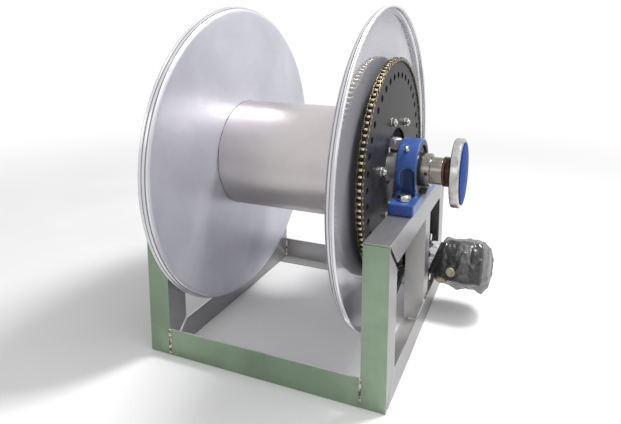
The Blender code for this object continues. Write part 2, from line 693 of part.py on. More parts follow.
def bent_pipe(radius, start_x, end_radius, steps):
    """A round pipe from start_x on the axis, bent square and out to end_radius."""
    bend_x = start_x - OUTLET_BEND_RADIUS - OUTLET_RADIUS / 2
    out = outlet_vector()
    centre = Vector((bend_x + OUTLET_BEND_RADIUS, 0, 0)) + out * OUTLET_BEND_RADIUS
    points = [Vector((start_x, 0, 0))]
    for i in range(steps + 1):
        angle = math.pi / 2 * i / steps
        offset = Vector((-1, 0, 0)) * math.sin(angle) - out * math.cos(angle)
        points.append(centre + offset * OUTLET_BEND_RADIUS)
    points.append(Vector((bend_x, 0, 0)) + out * end_radius)
    curve = bpy.data.curves.new("pipe", "CURVE")
    curve.dimensions = "3D"
    curve.bevel_depth = radius
    curve.bevel_resolution = 2
    curve.use_fill_caps = True
    spline = curve.splines.new("POLY")
    spline.points.add(len(points) - 1)
    for point, place in zip(spline.points, points):
        point.co = (*place, 1)
    obj = scratch(curve)
    mesh = baked_mesh(obj)
    bpy.data.objects.remove(obj)
    return mesh, bend_x


def outlet():
    """The elbow from the hollow shaft to the drum's surface, and the hose coupling on it."""
    start = DISC_INNER_X - SHAFT_DEPTH_IN_DRUM - GAP
    flush = DRUM_RADIUS + GAP
    outside, bend_x = bent_pipe(OUTLET_RADIUS, start, flush, 4)
    inside, _ = bent_pipe(OUTLET_BORE_RADIUS, start + 0.002, flush + 0.002, 4)
    link("outlet_elbow", smoothed(cut(outside, inside)), SATIN_STEEL, reel_axis)
    seat = flush + GAP
    coupling = turned([
        (seat, OUTLET_BORE_RADIUS), (seat, OUTLET_COUPLING_RADIUS),
        (seat + OUTLET_COUPLING_HEIGHT * 0.3, OUTLET_COUPLING_RADIUS),
        (seat + OUTLET_COUPLING_HEIGHT * 0.3, OUTLET_RADIUS),
        (seat + OUTLET_COUPLING_HEIGHT, OUTLET_RADIUS),
        (seat + OUTLET_COUPLING_HEIGHT, OUTLET_BORE_RADIUS),
    ])
    towards_outlet = Matrix.Rotation(OUTLET_DIRECTION, 4, "X") @ Matrix.Rotation(math.pi / 2, 4, "Z")
    coupling.transform(Matrix.Translation((bend_x, 0, 0)) @ towards_outlet)
    link("hose_coupling", smoothed(coupling), BLUED_STEEL, reel_axis)
    hole = rod(OUTLET_RADIUS + OUTLET_HOLE_CLEARANCE, DRUM_RADIUS / 2, DRUM_RADIUS * 2, ROUND_STEPS)
    hole.transform(Matrix.Translation((bend_x, 0, 0)) @ towards_outlet)
    return hole


def drum():
    half = DISC_INNER_X - GAP
    shell = tube(-half, half, DRUM_RADIUS, DRUM_RADIUS - DRUM_WALL, DISC_STEPS)
    link("drum_shell", smoothed(cut(shell, outlet())), SATIN_STEEL, reel_axis)
    for name, side in (("left", -1), ("right", 1)):
        disc(f"{name}_disc", side)
        hub(f"{name}_hub", side)


def shafts():
    inner_end = DISC_INNER_X - SHAFT_DEPTH_IN_DRUM
    stub = turned(
        [(STUB_END_X, 0), (STUB_END_X, SHAFT_RADIUS), (-inner_end, SHAFT_RADIUS), (-inner_end, 0)],
        closed=False,
    )
    link("left_stub_shaft", stub, MACHINED_STEEL, reel_axis)
    groove_middle = SHAFT_END_X + SPIGOT_LENGTH / 2
    groove_low = groove_middle - SWIVEL_SEAL_WIDTH / 2 - GAP
    groove_high = groove_middle + SWIVEL_SEAL_WIDTH / 2 + GAP
    groove_floor = SPIGOT_RADIUS - SWIVEL_SEAL_SECTION
    spigot_end = SHAFT_END_X + SPIGOT_LENGTH
    hollow = turned([
        (inner_end, SHAFT_BORE_RADIUS), (inner_end, SHAFT_RADIUS), (SHAFT_END_X, SHAFT_RADIUS),
        (SHAFT_END_X, SPIGOT_RADIUS), (groove_low, SPIGOT_RADIUS), (groove_low, groove_floor),
        (groove_high, groove_floor), (groove_high, SPIGOT_RADIUS), (spigot_end, SPIGOT_RADIUS),
        (spigot_end, SHAFT_BORE_RADIUS),
    ])
    tapping = rod(PLUG_STEM_RADIUS + GAP, 0, 2 * SHAFT_RADIUS)
    seat = rod(PLUG_SEAL_RADIUS, SHAFT_RADIUS - 0.003, PLUG_SEAT_FROM_AXIS, 12)
    for mesh in (tapping, seat):
        moved(mesh, (PLUG_X, 0, 0), math.radians(-90), "Y")
    hollow = cut(joined(hollow, seat), tapping)
    link("hollow_shaft", smoothed(hollow), MACHINED_STEEL, reel_axis)


def blowdown_plug():
    """A hexagon plug screwed radially into the hollow shaft, on a rubber ring."""
    seal_low = PLUG_SEAT_FROM_AXIS + GAP
    seal_high = PLUG_HEX_FROM_AXIS - GAP
    plug = joined(
        rod(PLUG_STEM_RADIUS, SHAFT_BORE_RADIUS, PLUG_HEX_FROM_AXIS + PLUG_HEX_HEIGHT / 2),
        hexagon(PLUG_HEX, PLUG_HEX_FROM_AXIS, PLUG_HEX_FROM_AXIS + PLUG_HEX_HEIGHT),
    )
    seal = tube(seal_low, seal_high, PLUG_SEAL_RADIUS, PLUG_STEM_RADIUS + GAP, 8)
    for name, mesh, material in (
        ("blowdown_plug", plug, MACHINED_STEEL),
        ("blowdown_seal", seal, RUBBER),
    ):
        link(name, moved(mesh, turn=math.radians(-90), about="Y"), material, reel_axis, (PLUG_X, 0, 0))


# ---------------------------------------------------------------- chain drive


def pitch_radius(teeth):
    return CHAIN_PITCH / (2 * math.sin(math.pi / teeth))


def chain_layout():
    """The centre distance at which the chain closes with a whole number of links, and half the
    angle of the gap in its wrap on the drum's sprocket."""
    big, small = pitch_radius(DRUM_SPROCKET_TEETH), pitch_radius(MOTOR_SPROCKET_TEETH)
    low, high = big + small, CHAIN_PITCH * CHAIN_LINKS
    for _ in range(60):
        distance = (low + high) / 2
        gap_angle = math.acos((big - small) / distance)
        links = (
            (1 - gap_angle / math.pi) * DRUM_SPROCKET_TEETH
            + gap_angle / math.pi * MOTOR_SPROCKET_TEETH
            + 2 * distance * math.sin(gap_angle) / CHAIN_PITCH
        )
        if links < CHAIN_LINKS:
            low = distance
        else:
            high = distance
    return distance, gap_angle


CENTRE_DISTANCE, GAP_ANGLE = chain_layout()
MOTOR_Y = CENTRE_DISTANCE * math.cos(MOTOR_DIRECTION)
MOTOR_Z = AXIS_HEIGHT + CENTRE_DISTANCE * math.sin(MOTOR_DIRECTION)
WRAP_BIG = (1 - GAP_ANGLE / math.pi) * DRUM_SPROCKET_TEETH
WRAP_SMALL = GAP_ANGLE / math.pi * MOTOR_SPROCKET_TEETH
RUN = CENTRE_DISTANCE * math.sin(GAP_ANGLE) / CHAIN_PITCH  # pitches in a straight run
motor_axis = new_empty("motor_axis", (0, MOTOR_Y, MOTOR_Z), reel_frame)


def chain_place(pitches, offset):
    """The (y, z) of a point of the chain this many pitches along, offset outward from its line."""
    big, small = pitch_radius(DRUM_SPROCKET_TEETH), pitch_radius(MOTOR_SPROCKET_TEETH)
    leave, arrive = MOTOR_DIRECTION - GAP_ANGLE, MOTOR_DIRECTION + GAP_ANGLE
    small_y = CENTRE_DISTANCE * math.cos(MOTOR_DIRECTION)
    small_z = CENTRE_DISTANCE * math.sin(MOTOR_DIRECTION)
    if pitches <= WRAP_BIG:
        angle = arrive + 2 * math.pi * pitches / DRUM_SPROCKET_TEETH
        centre, radius = (0, 0), big
    elif pitches <= WRAP_BIG + RUN:
        share = (pitches - WRAP_BIG) / RUN
        angle, centre = leave, (small_y * share, small_z * share)
        radius = big + (small - big) * share
    elif pitches <= WRAP_BIG + RUN + WRAP_SMALL:
        past = pitches - WRAP_BIG - RUN
        angle = leave + 2 * math.pi * past / MOTOR_SPROCKET_TEETH
        centre, radius = (small_y, small_z), small
    else:
        share = 1 - (pitches - WRAP_BIG - RUN - WRAP_SMALL) / RUN
        angle, centre = arrive, (small_y * share, small_z * share)
        radius = big + (small - big) * share
    reach = radius + offset
    return centre[0] + reach * math.cos(angle), centre[1] + reach * math.sin(angle)


def chain():
    """One endless ribbon: side plates along its edges, a bar across it at every pitch, and a
    window between each two bars. The sprockets' teeth turn under the bars, clear of them."""
    levels = (-CHAIN_PLATE_HEIGHT / 2, CHAIN_BAR_CLEARANCE - TOOTH_TIP_INSET, CHAIN_PLATE_HEIGHT / 2)
    near, far = CHAIN_PLATE_INNER, CHAIN_PLATE_INNER + CHAIN_PLATE_THICKNESS
    half_bar = CHAIN_BAR_SHARE / 2
    bm = bmesh.new()

    def column(x, pitches, heights=levels):
        """The points at this X, this many pitches along the chain, from its inner side outward."""
        return [bm.verts.new((x, *chain_place(pitches % CHAIN_LINKS, height))) for height in heights]

    links = [
        {
            "edge": [column(x, number, levels[::2]) for x in (-far, far)],
            "before": [column(x, number - half_bar) for x in (-near, near)],
            "after": [column(x, number + half_bar) for x in (-near, near)],
        }
        for number in range(CHAIN_LINKS)
    ]
    for here, there in zip(links, links[1:] + links[:1]):
        edge, next_edge = here["edge"], there["edge"]
        before, after, following = here["before"], here["after"], there["before"]
        bar = (edge[0], before[0], before[1], edge[1], after[1], after[0])
        bm.faces.new([point[-1] for point in bar])
        bm.faces.new([point[1] for point in (before[0], before[1], after[1], after[0])])
        walls = [(after[0][1:], after[1][1:]), (following[0][1:], following[1][1:])]
        for side in (0, 1):
            strip = (edge[side], after[side], following[side], next_edge[side])
            bm.faces.new([point[-1] for point in strip])
            bm.faces.new([point[0] for point in strip])
            bm.faces.new([point[0] for point in (edge[side], before[side], after[side])])
            walls.append((edge[side], next_edge[side]))
            walls.append((before[side][:2], after[side][:2]))
            walls.append((after[side][:2], following[side][:2]))
            walls.append((after[side][1:], following[side][1:]))
        for start, end in walls:
            bm.faces.new((start[0], start[1], end[1], end[0]))
    link("drive_chain", mesh_of(bm), CHAIN_STEEL, reel_frame, (CHAIN_X, 0, AXIS_HEIGHT))


def toothed_outline(teeth, first_bar):
    """A sprocket's outline, with a tooth midway between each two of the chain's bars."""
    radius = pitch_radius(teeth)
    root = radius - CHAIN_PLATE_HEIGHT / 2 - GAP
    tip = radius - TOOTH_TIP_INSET
    outline = []
    for i in range(teeth):
        middle = first_bar + 2 * math.pi * (i + 0.5) / teeth
        half_base = math.asin(TOOTH_BASE_WIDTH / 2 / root)
        for reach, angle in ((root, middle - half_base), (tip, middle), (root, middle + half_base)):
            outline.append((reach * math.cos(angle), reach * math.sin(angle)))
    return outline


def ring_of_holes(count, circle_radius, hole_radius, start=0.0, points=6):
    centres = circle_points(circle_radius, count, start=start)
    return [circle_points(hole_radius, points, centre) for centre in centres]


def drum_sprocket():
    outlines = [toothed_outline(DRUM_SPROCKET_TEETH, MOTOR_DIRECTION + GAP_ANGLE)]
    outlines.append(circle_points(SPROCKET_CENTRE_HOLE_RADIUS, FLANGE_STEPS))
    outlines += ring_of_holes(
        SPROCKET_HOLE_COUNT, SPROCKET_HOLE_CIRCLE_RADIUS, SPROCKET_HOLE_RADIUS, math.pi / 2
    )
    outlines += ring_of_holes(
        STUD_COUNT, STUD_CIRCLE_RADIUS, STUD_RADIUS + 2 * GAP, STUD_START_ANGLE, SMALL_STEPS
    )
    mesh = plate(outlines, SPROCKET_BACK_X, SPROCKET_FACE_X)
    link("drum_sprocket", mesh, BLACK_PLATE, reel_axis)
    nut_low = SPROCKET_FACE_X + GAP
    nut_high = nut_low + STUD_NUT_HEIGHT
    stud = joined(
        rod(STUD_RADIUS, DISC_OUTER_X + 0.001, nut_high + STUD_THREAD_BEYOND_NUT),
        rod(STUD_BOSS_RADIUS, DISC_OUTER_X + GAP, SPROCKET_BACK_X - GAP),
        hexagon(STUD_NUT_HEX, nut_low, nut_high),
    )
    for i in range(STUD_COUNT):
        angle = STUD_START_ANGLE + 2 * math.pi * i / STUD_COUNT
        place = (0, STUD_CIRCLE_RADIUS * math.cos(angle), STUD_CIRCLE_RADIUS * math.sin(angle))
        link(f"sprocket_stud_{i + 1}", stud, ZINC, reel_axis, place)


def motor_sprocket():
    to_first_bar = math.ceil(WRAP_BIG + RUN) - WRAP_BIG - RUN
    first = MOTOR_DIRECTION - GAP_ANGLE + 2 * math.pi * to_first_bar / MOTOR_SPROCKET_TEETH
    teeth = plate(
        [toothed_outline(MOTOR_SPROCKET_TEETH, first)], SPROCKET_BACK_X, SPROCKET_FACE_X
    )
    hub_end = SPROCKET_FACE_X + MOTOR_HUB_LENGTH
    hub_mesh = rod(MOTOR_HUB_RADIUS, CHAIN_X, hub_end, ROUND_STEPS)
    bore = rod(MOTOR_SHAFT_RADIUS + GAP, CHAIN_X - 0.05, hub_end + 0.05, ROUND_STEPS)
    mesh = cut(joined(teeth, hub_mesh), bore)
    link("motor_sprocket", smoothed(mesh), BLACK_PLATE, motor_axis)
    shaft = rod(
        MOTOR_SHAFT_RADIUS, SPROCKET_BACK_X - MOTOR_SHAFT_BEYOND_HUB, MOTOR_FACE_X + MOTOR_SHAFT_IN,
        ROUND_STEPS,
    )
    link("motor_shaft", smoothed(shaft), MACHINED_STEEL, motor_axis)


# ---------------------------------------------------------------- inlet


def inlet():
    """A swivel sleeve on the shaft's spigot, the pipe flange on it, and the flange's plastic cap."""
    start = SHAFT_END_X + GAP - FLANGE_X
    end = start + SWIVEL_LENGTH
    flats = math.cos(math.pi / ROUND_STEPS)  # how near a faceted bore's flats lie, against its corners
    bore = (SPIGOT_RADIUS + GAP) / flats
    stop_x = SHAFT_END_X + SPIGOT_LENGTH + GAP - FLANGE_X
    sleeve = turned([
        (start, bore), (start, SWIVEL_RADIUS), (end, SWIVEL_RADIUS), (end, FLANGE_BORE_RADIUS),
        (stop_x, FLANGE_BORE_RADIUS), (stop_x, bore),
    ])
    link("swivel_sleeve", sleeve, BLUED_STEEL, swivel_axis)
    middle = SHAFT_END_X + SPIGOT_LENGTH / 2 - FLANGE_X
    seal = tube(
        middle - SWIVEL_SEAL_WIDTH / 2, middle + SWIVEL_SEAL_WIDTH / 2,
        SPIGOT_RADIUS, (SPIGOT_RADIUS - SWIVEL_SEAL_SECTION + GAP) / flats,
    )
    link("swivel_seal", seal, RUBBER, swivel_axis)
    edge = FLANGE_EDGE_RADIUS
    rear_edge = circle_points(
        edge, 2, (edge, FLANGE_RADIUS - edge), math.pi, -math.pi / 2, ends=True
    )
    front_edge = circle_points(
        edge, 3, (FLANGE_THICKNESS - edge, FLANGE_RADIUS - edge), math.pi / 2, -math.pi / 2, ends=True
    )
    profile = [(0, FLANGE_BORE_RADIUS)] + rear_edge + front_edge
    cap_seat = CAP_RADIUS + 2 * GAP
    profile += [(FLANGE_THICKNESS, cap_seat), (FLANGE_THICKNESS, FLANGE_BORE_RADIUS)]
    holes = [
        moved(rod(FLANGE_BOLT_HOLE_RADIUS, -0.01, FLANGE_THICKNESS + 0.01), (0, y, z))
        for y, z in circle_points(FLANGE_BOLT_CIRCLE_RADIUS, FLANGE_BOLT_COUNT, start=math.pi / 4)
    ]
    flange = cut(turned(profile, FLANGE_STEPS), *holes)
    link("inlet_flange", smoothed(flange), MACHINED_STEEL, swivel_axis)
    face = FLANGE_THICKNESS + GAP
    plug_radius = FLANGE_BORE_RADIUS - GAP
    crown = face + CAP_EDGE + CAP_DOME
    cap = turned([
        (crown, 0), (crown, CAP_RADIUS * 0.35), (face + CAP_EDGE + CAP_DOME / 2, CAP_RADIUS * 0.75),
        (face + CAP_EDGE, CAP_RADIUS * 0.97), (face + CAP_EDGE / 2, CAP_RADIUS),
        (face, CAP_RADIUS), (face, plug_radius), (face - CAP_PLUG_LENGTH, plug_radius),
        (face - CAP_PLUG_LENGTH, plug_radius - CAP_PLUG_WALL),
        (face + CAP_EDGE / 2, plug_radius - CAP_PLUG_WALL), (face + CAP_EDGE / 2, 0),
    ], FLANGE_STEPS, closed=False)
    link("flange_cap", cap, BLUE_PLASTIC, swivel_axis)


# ---------------------------------------------------------------- motor


def round_motor(mesh):
    """Shifts a mesh made round the motor's own axis to its place in the reel."""
    return moved(mesh, (0, MOTOR_Y, MOTOR_Z))


def port_tool(mesh, x, angle):
    """Stands a mesh made along X on the motor's body, pointing outward at this angle."""
    stand = Matrix.Rotation(angle, 4, "X") @ Matrix.Rotation(math.pi / 2, 4, "Z")
    mesh.transform(Matrix.Translation((x, 0, 0)) @ stand)
    return mesh


def motor_plate():
    y_from = MIDDLE_POST_Y + ANGLE_SHEET + GAP
    y_to = FRAME_HALF_DEPTH - ANGLE_SHEET - GAP
    x_to = MOTOR_PLATE_X + MOTOR_PLATE_THICKNESS
    low, high = MOTOR_Z - MOTOR_PLATE_HALF_HEIGHT, MOTOR_Z + MOTOR_PLATE_HALF_HEIGHT
    outline = [(y_from, low), (y_to, low), (y_to, high), (y_from, high)]
    pilot = circle_points(MOTOR_PILOT_RADIUS + GAP, ROUND_STEPS, (MOTOR_Y, MOTOR_Z))
    bolts = [
        circle_points(MOTOR_BOLT_RADIUS + GAP, SMALL_STEPS, (MOTOR_Y, MOTOR_Z + side * MOTOR_FLANGE_EAR))
        for side in (-1, 1)
    ]
    mesh = plate([outline, pilot, *bolts], MOTOR_PLATE_X, x_to)
    link("motor_plate", mesh, BRUSHED_STEEL, reel_frame)


def motor():
    face = MOTOR_FACE_X
    flange_end = face + MOTOR_FLANGE_THICKNESS
    neck_end = flange_end + MOTOR_NECK_LENGTH
    body_end = neck_end + MOTOR_BODY_LENGTH
    body = turned([
        (face - MOTOR_PILOT_LENGTH, 0), (face - MOTOR_PILOT_LENGTH, MOTOR_PILOT_RADIUS),
        (face, MOTOR_PILOT_RADIUS), (face, MOTOR_FLANGE_RADIUS), (flange_end, MOTOR_FLANGE_RADIUS),
        (flange_end, MOTOR_NECK_RADIUS), (neck_end, MOTOR_NECK_RADIUS),
        (neck_end, MOTOR_BODY_RADIUS), (body_end, MOTOR_BODY_RADIUS), (body_end, 0),
    ], ROUND_STEPS, closed=False)
    reach = MOTOR_FLANGE_EAR + MOTOR_EAR_HALF_WIDTH
    corner = MOTOR_EAR_HALF_WIDTH / 2
    ears = [
        (-MOTOR_EAR_HALF_WIDTH, -reach + corner), (-corner, -reach), (corner, -reach),
        (MOTOR_EAR_HALF_WIDTH, -reach + corner), (MOTOR_EAR_HALF_WIDTH, reach - corner),
        (corner, reach), (-corner, reach), (-MOTOR_EAR_HALF_WIDTH, reach - corner),
    ]
    bolt_holes = [
        circle_points(MOTOR_BOLT_RADIUS + GAP, SMALL_STEPS, (0, side * MOTOR_FLANGE_EAR))
        for side in (-1, 1)
    ]
    body = joined(body, plate([ears, *bolt_holes], face, flange_end))
    boss_top = MOTOR_BODY_RADIUS + PORT_BOSS_HEIGHT
    for along, angle in PORTS:
        boss = rod(PORT_BOSS_RADIUS, MOTOR_BODY_RADIUS / 2, boss_top, 12)
        port = rod(PORT_PLUG_STEM_RADIUS + GAP, boss_top - 0.014, boss_top + 0.01, SMALL_STEPS)
        x = face + along
        body = cut(joined(body, port_tool(boss, x, angle)), port_tool(port, x, angle))
    shaft_hole = rod(
        MOTOR_SHAFT_RADIUS + GAP, face - 0.02, face + MOTOR_SHAFT_IN + GAP, ROUND_STEPS
    )
    link("motor_body", smoothed(round_motor(cut(body, shaft_hole))), BLACK_IRON, reel_frame)
    for number, (along, angle) in enumerate(PORTS, start=1):
        plug = joined(
            rod(PORT_PLUG_STEM_RADIUS, boss_top - PORT_PLUG_STEM_LENGTH, boss_top + PORT_PLUG_HEAD / 2),
            rod(PORT_PLUG_RADIUS, boss_top + GAP, boss_top + PORT_PLUG_HEAD, 12),
        )
        port_tool(plug, face + along, angle)
        link(f"port_plug_{number}", smoothed(round_motor(plug)), YELLOW_PLASTIC, reel_frame)
    ring_low = body_end + GAP
    ring_high = ring_low + MOTOR_GEAR_RING_LENGTH
    ring = rod(MOTOR_GEAR_RING_RADIUS, ring_low, ring_high, ROUND_STEPS)
    link("motor_gear_ring", smoothed(round_motor(ring)), BLACK_IRON, reel_frame)
    cover_low = ring_high + GAP
    cover_high = cover_low + MOTOR_COVER_LENGTH
    chamfer = 0.004
    cover = turned([
        (cover_low, 0), (cover_low, MOTOR_COVER_RADIUS), (cover_high - chamfer, MOTOR_COVER_RADIUS),
        (cover_high, MOTOR_COVER_RADIUS - chamfer), (cover_high, 0),
    ], ROUND_STEPS, closed=False)
    link("motor_end_cover", round_motor(cover), BLACK_IRON, reel_frame)
    bolt = hex_bolt(
        MOTOR_BOLT_RADIUS, MOTOR_BOLT_HEX, MOTOR_BOLT_HEAD, MOTOR_PLATE_X, flange_end,
        MOTOR_WASHER_RADIUS, MOTOR_WASHER_THICKNESS, MOTOR_BOLT_RADIUS / 2,
    )
    for name, side in (("lower", -1), ("upper", 1)):
        place = (0, MOTOR_Y, MOTOR_Z + side * MOTOR_FLANGE_EAR)
        link(f"motor_bolt_{name}", bolt, ZINC, reel_frame, place)


def motor_film():
    """A film bag over the motor: a lofted skin, open at its gathered tail, and the tie round it."""
    neck = MOTOR_NECK_RADIUS + GAP + FILM_THICKNESS
    swell = FILM_NECK_LENGTH + 0.004
    length = FILM_LENGTH
    # Along the bag, half its width, half its height, and how much of the tie's lean it follows.
    stations = (
        (0, FILM_TAIL_RADIUS, FILM_TAIL_RADIUS, 1),
        (TIE_FROM_TAIL, neck, neck, 1),
        (FILM_NECK_LENGTH, neck, neck, 1),
        (swell, FILM_SWELL_Y * 0.82, FILM_SWELL_Z * 0.82, 1),
        (swell + 0.012, FILM_SWELL_Y * 0.98, FILM_SWELL_Z * 0.94, 0.6),
        (length - 0.045, FILM_SWELL_Y, FILM_SWELL_Z, 0),
        (length - 0.013, FILM_SWELL_Y * 0.80, FILM_SWELL_Z * 0.82, 0),
        (length, FILM_END_RADIUS, FILM_END_RADIUS, 0),
    )
    bm = bmesh.new()
    rings = []
    for along, half_y, half_z, lean in stations:
        ring = [
            bm.verts.new((along + lean * TIE_LEAN * half_z * z, half_y * y, half_z * z))
            for y, z in circle_points(1, ROUND_STEPS)
        ]
        rings.append(ring)
    for here, there in zip(rings, rings[1:]):
        for i in range(ROUND_STEPS):
            after = (i + 1) % ROUND_STEPS
            bm.faces.new((here[i], there[i], there[after], here[after]))
    bm.faces.new(rings[-1])
    obj = scratch(mesh_of(bm))
    skin = obj.modifiers.new("skin", "SOLIDIFY")
    skin.thickness = FILM_THICKNESS
    skin.offset = -1
    mesh = baked_mesh(obj)
    bpy.data.objects.remove(obj)
    place = (FILM_TAIL_X, MOTOR_Y, MOTOR_Z)
    link("motor_film", smoothed(mesh), FILM, reel_frame, place)
    inner = neck + GAP
    tie = tube(TIE_FROM_TAIL, TIE_FROM_TAIL + TIE_WIDTH, inner + TIE_THICKNESS, inner)
    tie.transform(Matrix(((1, 0, TIE_LEAN, 0), (0, 1, 0, 0), (0, 0, 1, 0), (0, 0, 0, 1))))
    link("cable_tie", tie, NYLON, reel_frame, place)


# ---------------------------------------------------------------- the whole reel


for frame_side, frame_x, its_bearing_x in (
    ("left", LEFT_FRAME_X, LEFT_BEARING_X),
    ("right", RIGHT_FRAME_X, RIGHT_BEARING_X),
):
    end_frame(frame_side, frame_x, its_bearing_x)
cross_rail("front_cross_rail", -FRAME_HALF_DEPTH, 1)
cross_rail("rear_cross_rail", FRAME_HALF_DEPTH, -1)
middle_post()
bearing("left", LEFT_BEARING_X, -1)
bearing("right", RIGHT_BEARING_X, 1)
drum()
shafts()
blowdown_plug()
chain()
drum_sprocket()
motor_sprocket()
inlet()
motor_plate()
motor()
motor_film()
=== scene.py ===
"""A powered fire hose reel: the detailed pieces and finishes over its fixed frame."""

import math

import bmesh
import bpy
from bpy.props import FloatProperty, FloatVectorProperty, IntProperty, PointerProperty
from mathutils import Matrix, Vector, noise


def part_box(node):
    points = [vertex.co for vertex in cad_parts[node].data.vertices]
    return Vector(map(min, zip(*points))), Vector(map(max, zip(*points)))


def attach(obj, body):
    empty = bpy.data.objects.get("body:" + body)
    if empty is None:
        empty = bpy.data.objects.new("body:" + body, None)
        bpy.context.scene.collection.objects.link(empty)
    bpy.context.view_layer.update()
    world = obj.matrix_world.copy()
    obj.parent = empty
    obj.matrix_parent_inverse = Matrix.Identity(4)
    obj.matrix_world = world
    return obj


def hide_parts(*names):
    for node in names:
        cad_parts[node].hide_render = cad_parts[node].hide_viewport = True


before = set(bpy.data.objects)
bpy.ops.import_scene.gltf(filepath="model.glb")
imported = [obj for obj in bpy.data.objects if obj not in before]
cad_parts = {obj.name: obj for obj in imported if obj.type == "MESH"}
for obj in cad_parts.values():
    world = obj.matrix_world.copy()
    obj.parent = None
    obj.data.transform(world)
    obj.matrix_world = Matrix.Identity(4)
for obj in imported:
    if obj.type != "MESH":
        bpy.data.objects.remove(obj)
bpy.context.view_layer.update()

bl_info = {
    "name": "Fire Hose Reel",
    "version": (1, 0, 0),
    "blender": (4, 5, 0),
    "location": "3D View > Sidebar > Hose Reel",
    "description": "Builds the detailed pieces of a chain-driven hose reel over its frame",
    "category": "Object",
}


def span(node, axis):
    """A node's lowest and highest place along one axis."""
    low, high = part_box(node)
    return low[axis], high[axis]


def middle(node, axis):
    """Halfway along a node's span."""
    low, high = span(node, axis)
    return (low + high) / 2


REEL = (0.0, middle("left_disc", 2))
MOTOR = (middle("motor_end_cover", 1), middle("motor_end_cover", 2))
BIG_TEETH = 120
SMALL_TEETH = 15
LINKS = 128
SHEET = 0.003  # thickness of the sheet of the drum and discs
SHAFT = 0.03015  # radius of both shafts
BORE = 0.0225  # radius of the water's way through shaft, elbow and coupling
PIPE = 0.028  # outer radius of the elbow and of the coupling's barbed tail
SPIGOT = 0.0275  # radius of the hollow shaft's end, inside the swivel sleeve
SLEEVE = 0.033  # outer radius of the swivel sleeve and of the coupling's collar
FLANGE = 0.0762  # radius of the inlet flange
FLANGE_BOLTS = 0.06035  # radius of the circle that its holes lie on
CAP = 0.068  # radius of the flange's cap
OUTLET_ANGLE = -45  # the way that the hose's outlet points, in degrees
HOUSING_RING = 0.0685  # outer radius of a pillow block's ring
HOUSING_BORE = 0.0553  # its inner radius
BALL_CIRCLE = 0.0425  # radius that the balls run on
FILM_LENGTH = 0.1505  # from the film bag's open end to its bottom
TIE_LEAN = math.tan(math.radians(20))  # how far the tie leans for each unit of height


# ------------------------------------------------------------ sizes and colours


class HoseReelSizes(bpy.types.PropertyGroup):
    round_steps: IntProperty(
        name="Round steps", description="Facets round the discs and the drum", default=192, min=24
    )
    chain_pitch: FloatProperty(
        name="Chain pitch", description="From one roller to the next",
        default=0.0127, subtype="DISTANCE", unit="LENGTH",
    )
    chain_plate: FloatProperty(
        name="Chain plate", description="Thickness of one link plate",
        default=0.0014, subtype="DISTANCE", unit="LENGTH",
    )
    roller_radius: FloatProperty(
        name="Roller radius", description="Radius of a chain roller",
        default=0.0034, subtype="DISTANCE", unit="LENGTH",
    )
    frame_edge: FloatProperty(
        name="Frame edge", description="Rounding along the edges of the frame's angles",
        default=0.0012, subtype="DISTANCE", unit="LENGTH",
    )
    weld_radius: FloatProperty(
        name="Weld radius", description="Half the width of a weld bead",
        default=0.0036, subtype="DISTANCE", unit="LENGTH",
    )
    casting_grain: FloatProperty(
        name="Casting voxel", description="Mesh size of the cast bearing housings",
        default=0.0016, subtype="DISTANCE", unit="LENGTH",
    )
    film_crease: FloatProperty(
        name="Film crease", description="Depth of the folds in the film over the motor",
        default=0.008, subtype="DISTANCE", unit="LENGTH",
    )


def colour(name, description, default):
    return FloatVectorProperty(
        name=name, description=description, default=default, size=3, min=0, max=1, subtype="COLOR"
    )


class HoseReelColours(bpy.types.PropertyGroup):
    sheet: colour("Disc sheet", "Satin stainless sheet of the discs", (0.56, 0.56, 0.62))
    drum: colour("Drum sheet", "Satin stainless sheet of the drum", (0.56, 0.525, 0.52))
    angle: colour("Frame angle", "Brushed stainless of the frame", (0.248, 0.330, 0.236))
    machined: colour("Machined steel", "Turned shafts and flange", (0.50, 0.49, 0.47))
    bearing: colour("Bearing steel", "Ground races", (0.55, 0.55, 0.56))
    plate: colour("Sprocket black", "Satin black of the sprockets", (0.018, 0.017, 0.018))
    chain: colour("Chain bronze", "Oiled bronze of the chain", (0.66, 0.52, 0.29))
    zinc: colour("Zinc", "Plated bolts and nuts", (0.62, 0.62, 0.58))
    casting: colour("Casting blue", "Enamel on the bearing housings", (0.030, 0.078, 0.275))
    cap: colour("Cap blue", "Plastic of the flange's cap", (0.005, 0.046, 0.255))
    iron: colour("Motor black", "Paint on the motor", (0.022, 0.022, 0.024))
    plug: colour("Port plug", "Plastic plugs in the motor's ports", (0.36, 0.33, 0.23))
    film: colour("Film", "Clear film over the motor", (0.80, 0.80, 0.84))


def sizes():
    return bpy.context.scene.hose_reel_sizes


def colours():
    return bpy.context.scene.hose_reel_colours


# ------------------------------------------------------------ outlines and meshes


def half_width(node):
    """Half of a node's reach along Y."""
    low, high = span(node, 1)
    return (high - low) / 2


def ring_distance(face):
    """How far a face stands from the reel's axis."""
    centre = face.calc_center_median()
    return math.hypot(centre.y - REEL[0], centre.z - REEL[1])


def polar(radius, angle, centre=(0, 0)):
    """The point at this radius and angle, in radians, from the centre."""
    return centre[0] + radius * math.cos(angle), centre[1] + radius * math.sin(angle)


def arc(radius, start, sweep, count, centre=(0, 0)):
    """Points along an arc, both ends included; angles in degrees."""
    return [polar(radius, math.radians(start + sweep * i / (count - 1)), centre) for i in range(count)]


def circle(radius, count, centre=(0, 0)):
    """Points all the way round."""
    return arc(radius, 0, 360 * (count - 1) / count, count, centre)


